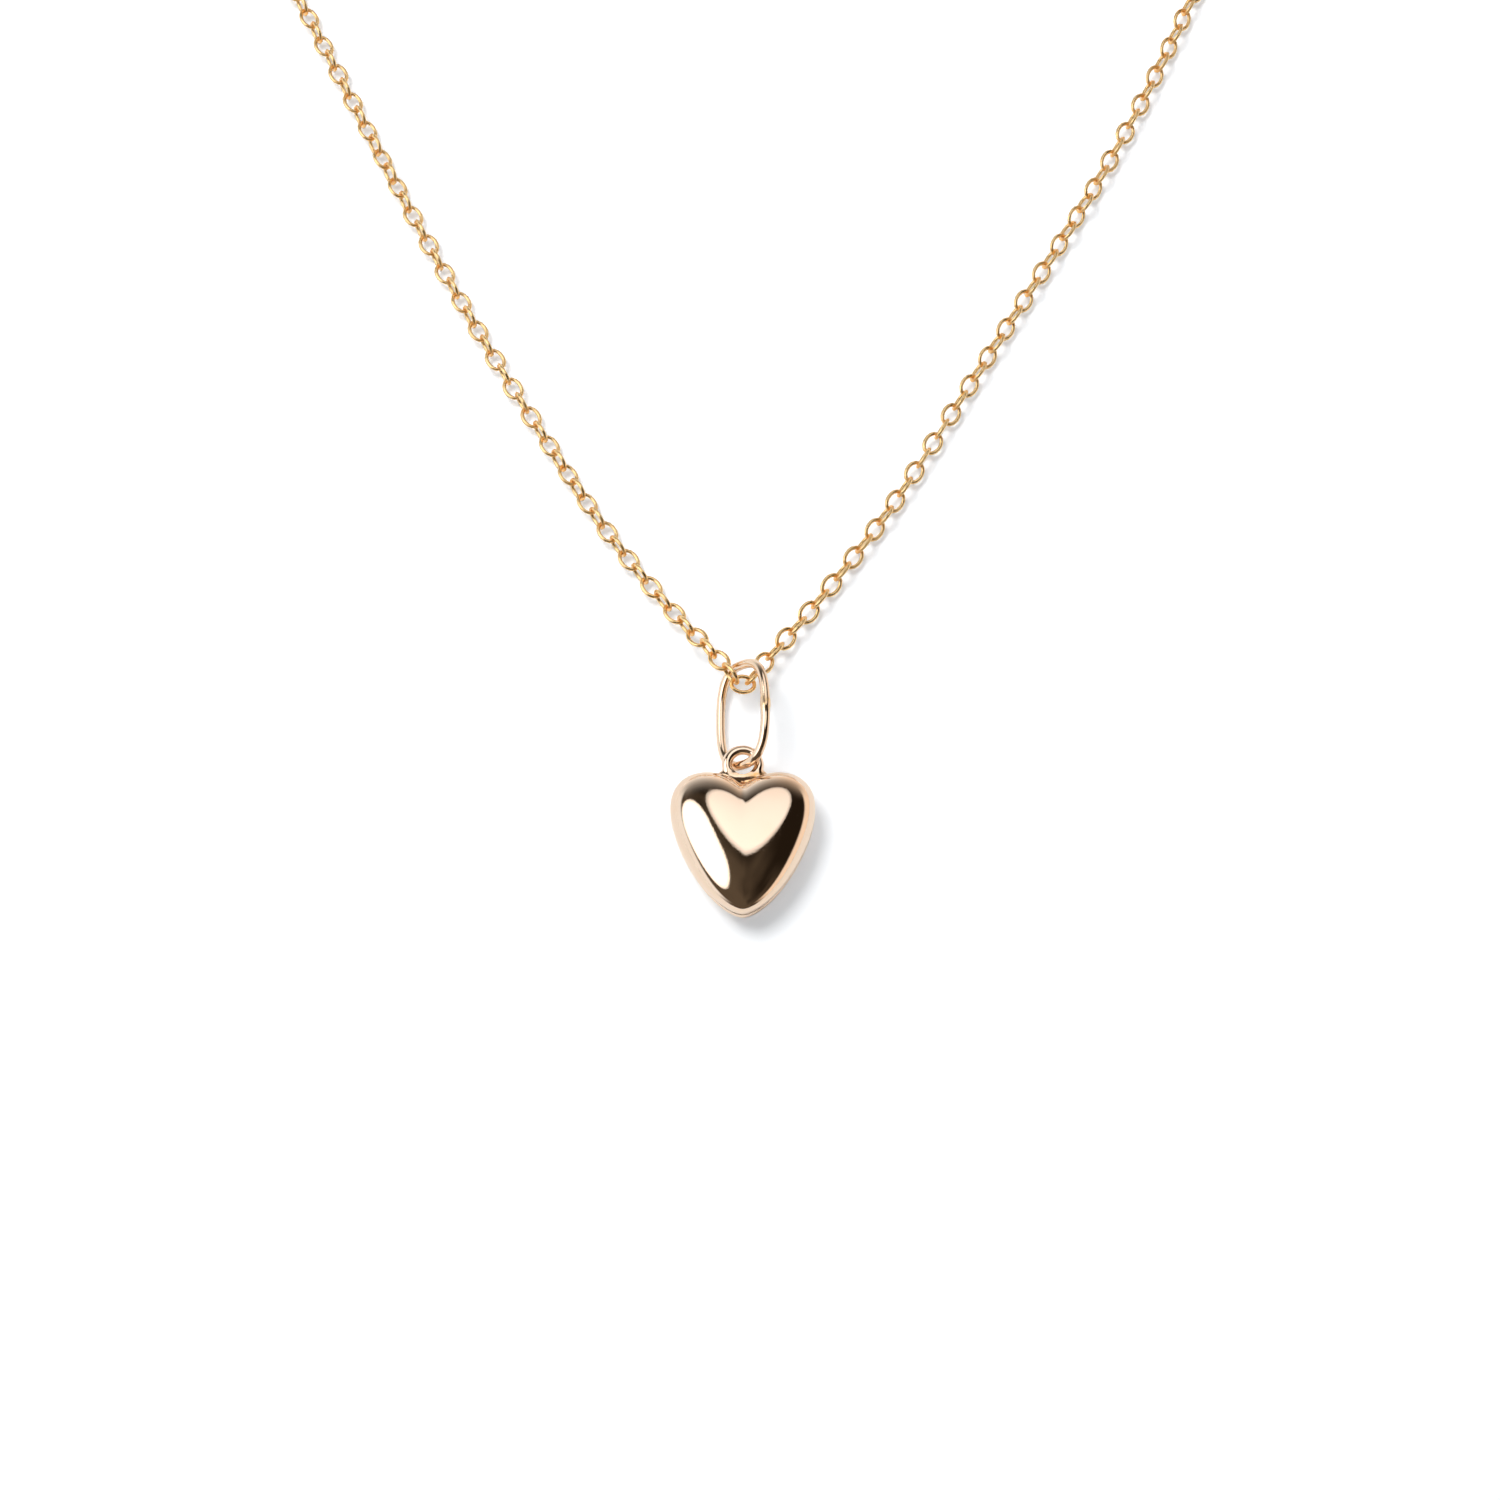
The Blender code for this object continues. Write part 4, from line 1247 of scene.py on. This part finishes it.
    def build_eye(self, finishes: Finishes, place: Matrix) -> bpy.types.Object:
        """The eye: a small ring, thickened by solder on the side that meets the tube."""
        offset = self.radius + self.tube + self.eye_radius + self.eye_wire + GAP
        outline = oval(self.eye_radius, self.eye_radius, 96)
        near = smoothstep(0.9, 1.0, outline[:, 0] / self.eye_radius)
        ring = ring_surface(outline, section(self.eye_wire * (1 + self.eye_solder * near), 20))
        draft = Draft("clasp_eye_ring")
        there = place @ Matrix.Translation((-offset, 0.0, 0.0))
        draft.add(placed(ring, there), Ends.JOINED, near[:, None])
        eye = finishes.dress(draft.finish(), CLASP_POLISH)
        return publish(eye, "clasp", "findings_gold", "clasp_eye")

    def build(self, finishes: Finishes) -> list[bpy.types.Object]:
        """Build the clasp's four pieces and return them."""
        place = self.place()
        return [self.build_tube(finishes, place), self.build_bolt(finishes, place),
                self.build_spring(finishes, place), self.build_eye(finishes, place)]


# --- studio --------------------------------------------------------------------------------------


@dataclass(frozen=True)
class Softbox:
    """An area light that faces the pendant from some way off."""

    name: str
    zenith: float
    azimuth: float
    distance: float
    size: tuple[float, float]
    power: float
    colour: Colour
    shape: str = "RECTANGLE"
    mirrored: bool = True
    lights_table: bool = True
    rim: float = 0.5
    slope: float = 0.35

    def build(self) -> None:
        """Hang the light; zenith is degrees from straight up, and azimuth from +X."""
        light = bpy.data.lights.new(self.name, "AREA")
        light.shape = self.shape
        light.size, light.size_y = self.size
        light.energy = self.power
        light.color = self.colour
        if self.mirrored:
            self.soften(light)
        item = add_object(self.name, light)
        zenith, azimuth = math.radians(self.zenith), math.radians(self.azimuth)
        away = Vector((math.sin(zenith) * math.cos(azimuth), math.sin(zenith) * math.sin(azimuth),
                       math.cos(zenith)))
        item.location = away * self.distance
        item.rotation_euler = away.to_track_quat("Z", "Y").to_euler()
        item.visible_glossy = self.mirrored
        item.visible_diffuse = self.lights_table

    def soften(self, light: bpy.types.Light) -> None:
        """Let the softbox's cloth fade at its rim and across its height."""
        light.use_nodes = True
        wiring = Wiring(light.node_tree)
        place = wiring.add("ShaderNodeNewGeometry").outputs["Parametric"]
        centred = wiring.add("ShaderNodeVectorMath", {0: place, 1: (0.5, 0.5, 0.0)},
                             operation="SUBTRACT").outputs[0]
        parts = wiring.add("ShaderNodeSeparateXYZ", {0: centred})
        flat = wiring.add("ShaderNodeCombineXYZ", {0: parts.outputs["X"], 1: parts.outputs["Y"]})
        reach = wiring.add("ShaderNodeVectorMath", {0: flat.outputs[0]}, operation="LENGTH")
        rim = wiring.ramp(reach.outputs["Value"], 0.40, 0.5, 1.0, self.rim)
        slope = wiring.math("MULTIPLY_ADD", parts.outputs["Y"], self.slope, 1.0)
        emission = light.node_tree.nodes["Emission"]
        wiring.link(wiring.math("MULTIPLY", rim, slope), emission.inputs["Strength"])


@dataclass
class Studio:
    """The pale table, the soft lights, the dark room beyond them, and the camera."""

    floor_half: float = 1.5
    table_card: Colour = (0.93, 0.94, 0.95)
    table_glow_colour: Colour = (0.81, 0.91, 1.0)
    table_glow: float = 0.16
    table_glow_seen: float = 0.38
    ceiling_dark: Colour = (0.016, 0.011, 0.007)
    ceiling_lit: Colour = (0.10, 0.078, 0.056)
    wall_cool: Colour = (0.95, 0.97, 1.0)
    wall_warm: Colour = (0.98, 0.83, 0.71)
    backdrop: Colour = (0.93, 0.93, 0.93)
    aim: Vector = Vector((0.48, 7.29, 0.0)) * MM
    camera_distance: float = 235 * MM
    camera_tilt: float = math.radians(18)
    lens: float = 82.6
    sensor: float = 36.0
    softboxes: tuple[Softbox, ...] = (
        Softbox("front_softbox", 30.0, 76.0, 0.6, (0.52, 0.52), 0.77, (1.0, 0.98, 0.99), "DISK"),
        Softbox("left_softbox", 42.0, 175.0, 0.6, (0.60, 0.58), 1.7, (1.0, 1.0, 1.0), "ELLIPSE",
                lights_table=False),
        Softbox("table_key", 27.0, 142.0, 0.8, (0.40, 0.40), 4.3, (1.0, 1.0, 1.0), "DISK",
                mirrored=False),
    )

    def build_floor(self) -> None:
        """A plain pale table top."""
        half = self.floor_half
        mesh = bpy.data.meshes.new("table_top")
        corners = [(-half, -half, 0), (half, -half, 0), (half, half, 0), (-half, half, 0)]
        mesh.from_pydata(corners, [], [(0, 1, 2, 3)])
        floor = add_object("table_top", mesh)
        material = bpy.data.materials.new("white_card")
        material.use_nodes = True
        shader = material.node_tree.nodes["Principled BSDF"]
        values = {"Base Color": (*self.table_card, 1.0), "Roughness": 0.9,
                  "Specular IOR Level": 0.1, "Emission Color": (*self.table_glow_colour, 1.0)}
        for name, value in values.items():
            shader.inputs[name].default_value = value
        wiring = Wiring(material.node_tree)
        seen = wiring.add("ShaderNodeLightPath").outputs["Is Camera Ray"]
        glow = wiring.ramp(seen, 0.0, 1.0, self.table_glow, self.table_glow_seen, False)
        wiring.link(glow, shader.inputs["Emission Strength"])
        mesh.materials.append(material)

    def build_room(self) -> None:
        """The room: pale to the eye, and to the metal dark overhead with bright walls.

        The ceiling is patchy and a little lit towards -X and -Y. The walls turn from cool at -X
        to warm at +X, end at a set height, and fade in slowly from the ceiling towards +Y. Far
        towards -Y there is no wall.
        """
        world = bpy.data.worlds.new("studio_room")
        bpy.context.scene.world = world
        world.use_nodes = True
        wiring = Wiring(world.node_tree)
        world.node_tree.nodes.clear()
        way = wiring.add("ShaderNodeTexCoord").outputs["Generated"]
        parts = wiring.add("ShaderNodeSeparateXYZ", {0: way})
        east, north, up = (parts.outputs[axis] for axis in "XYZ")
        corner = wiring.math("MULTIPLY_ADD", north, -0.75, wiring.math("MULTIPLY", east, -0.65))
        patches = wiring.math("MULTIPLY_ADD", wiring.noise(way, 2.3, 1.5), 2.2, -1.1)
        lit = wiring.ramp(wiring.math("ADD", corner, patches), -0.55, 0.75, 0.0, 1.0)
        ceiling = wiring.mix(lit, (*self.ceiling_dark, 1.0), (*self.ceiling_lit, 1.0))
        warm = wiring.ramp(east, -0.3, 0.4, 0.0, 1.0)
        wall = wiring.mix(warm, (*self.wall_cool, 1.0), (*self.wall_warm, 1.0))
        sides = wiring.ramp(up, 0.42, 0.30, 0.0, 1.0)
        back = wiring.math("POWER", wiring.ramp(up, 0.72, 0.04, 0.0, 1.0, False), 1.5)
        behind = wiring.ramp(north, 0.45, 0.80, 0.0, 1.0)
        share = wiring.add("ShaderNodeMix", {0: behind, 2: sides, 3: back}).outputs[0]
        share = wiring.math("MULTIPLY", share, wiring.ramp(north, -0.80, -0.50, 0.0, 1.0))
        room = wiring.add("ShaderNodeBackground", {"Color": wiring.mix(share, ceiling, wall)})
        pale = wiring.add("ShaderNodeBackground", {"Color": (*self.backdrop, 1.0)})
        seen = wiring.add("ShaderNodeLightPath").outputs["Is Camera Ray"]
        both = wiring.add("ShaderNodeMixShader", {0: seen, 1: room.outputs[0], 2: pale.outputs[0]})
        wiring.add("ShaderNodeOutputWorld", {0: both.outputs[0]})

    def build_camera(self) -> None:
        """The camera, over the pendant and a little towards -Y."""
        camera = bpy.data.cameras.new("camera")
        camera.lens = self.lens
        camera.sensor_width = self.sensor
        camera.clip_start = 0.01
        item = add_object("camera", camera)
        back = Vector((0.0, -math.sin(self.camera_tilt), math.cos(self.camera_tilt)))
        item.location = self.aim + back * self.camera_distance
        item.rotation_euler = Euler((self.camera_tilt, 0.0, 0.0))
        bpy.context.scene.camera = item

    def build(self) -> None:
        """Build the whole studio."""
        self.build_floor()
        for softbox in self.softboxes:
            softbox.build()
        self.build_room()
        self.build_camera()
        bpy.context.scene.view_settings.view_transform = "Standard"


def main() -> None:
    """Build the necklace round its frame, then the studio."""
    logging.basicConfig(level=logging.INFO, format="%(message)s")
    Studio().build()
    finishes = Finishes()
    link = CableLink()
    left = Strand(Side.LEFT, LEFT_ROUTE, math.radians(10), link)
    right = Strand(Side.RIGHT, RIGHT_ROUTE, math.radians(25), link)
    left_chain, left_end = left.build(finishes)
    right_chain, right_end = right.build(finishes)
    build_link("link_centre", 0.0, link, finishes)
    PuffedHeart().build(finishes)
    Bail().build(finishes)
    jump_ring = LeaningRing("jump_ring", 1.1 * MM).build(finishes)
    end_ring = LeaningRing("end_ring", 1.3 * MM).build(finishes)
    clasp = SpringRingClasp().build(finishes)


if __name__ == "__main__":
    main()
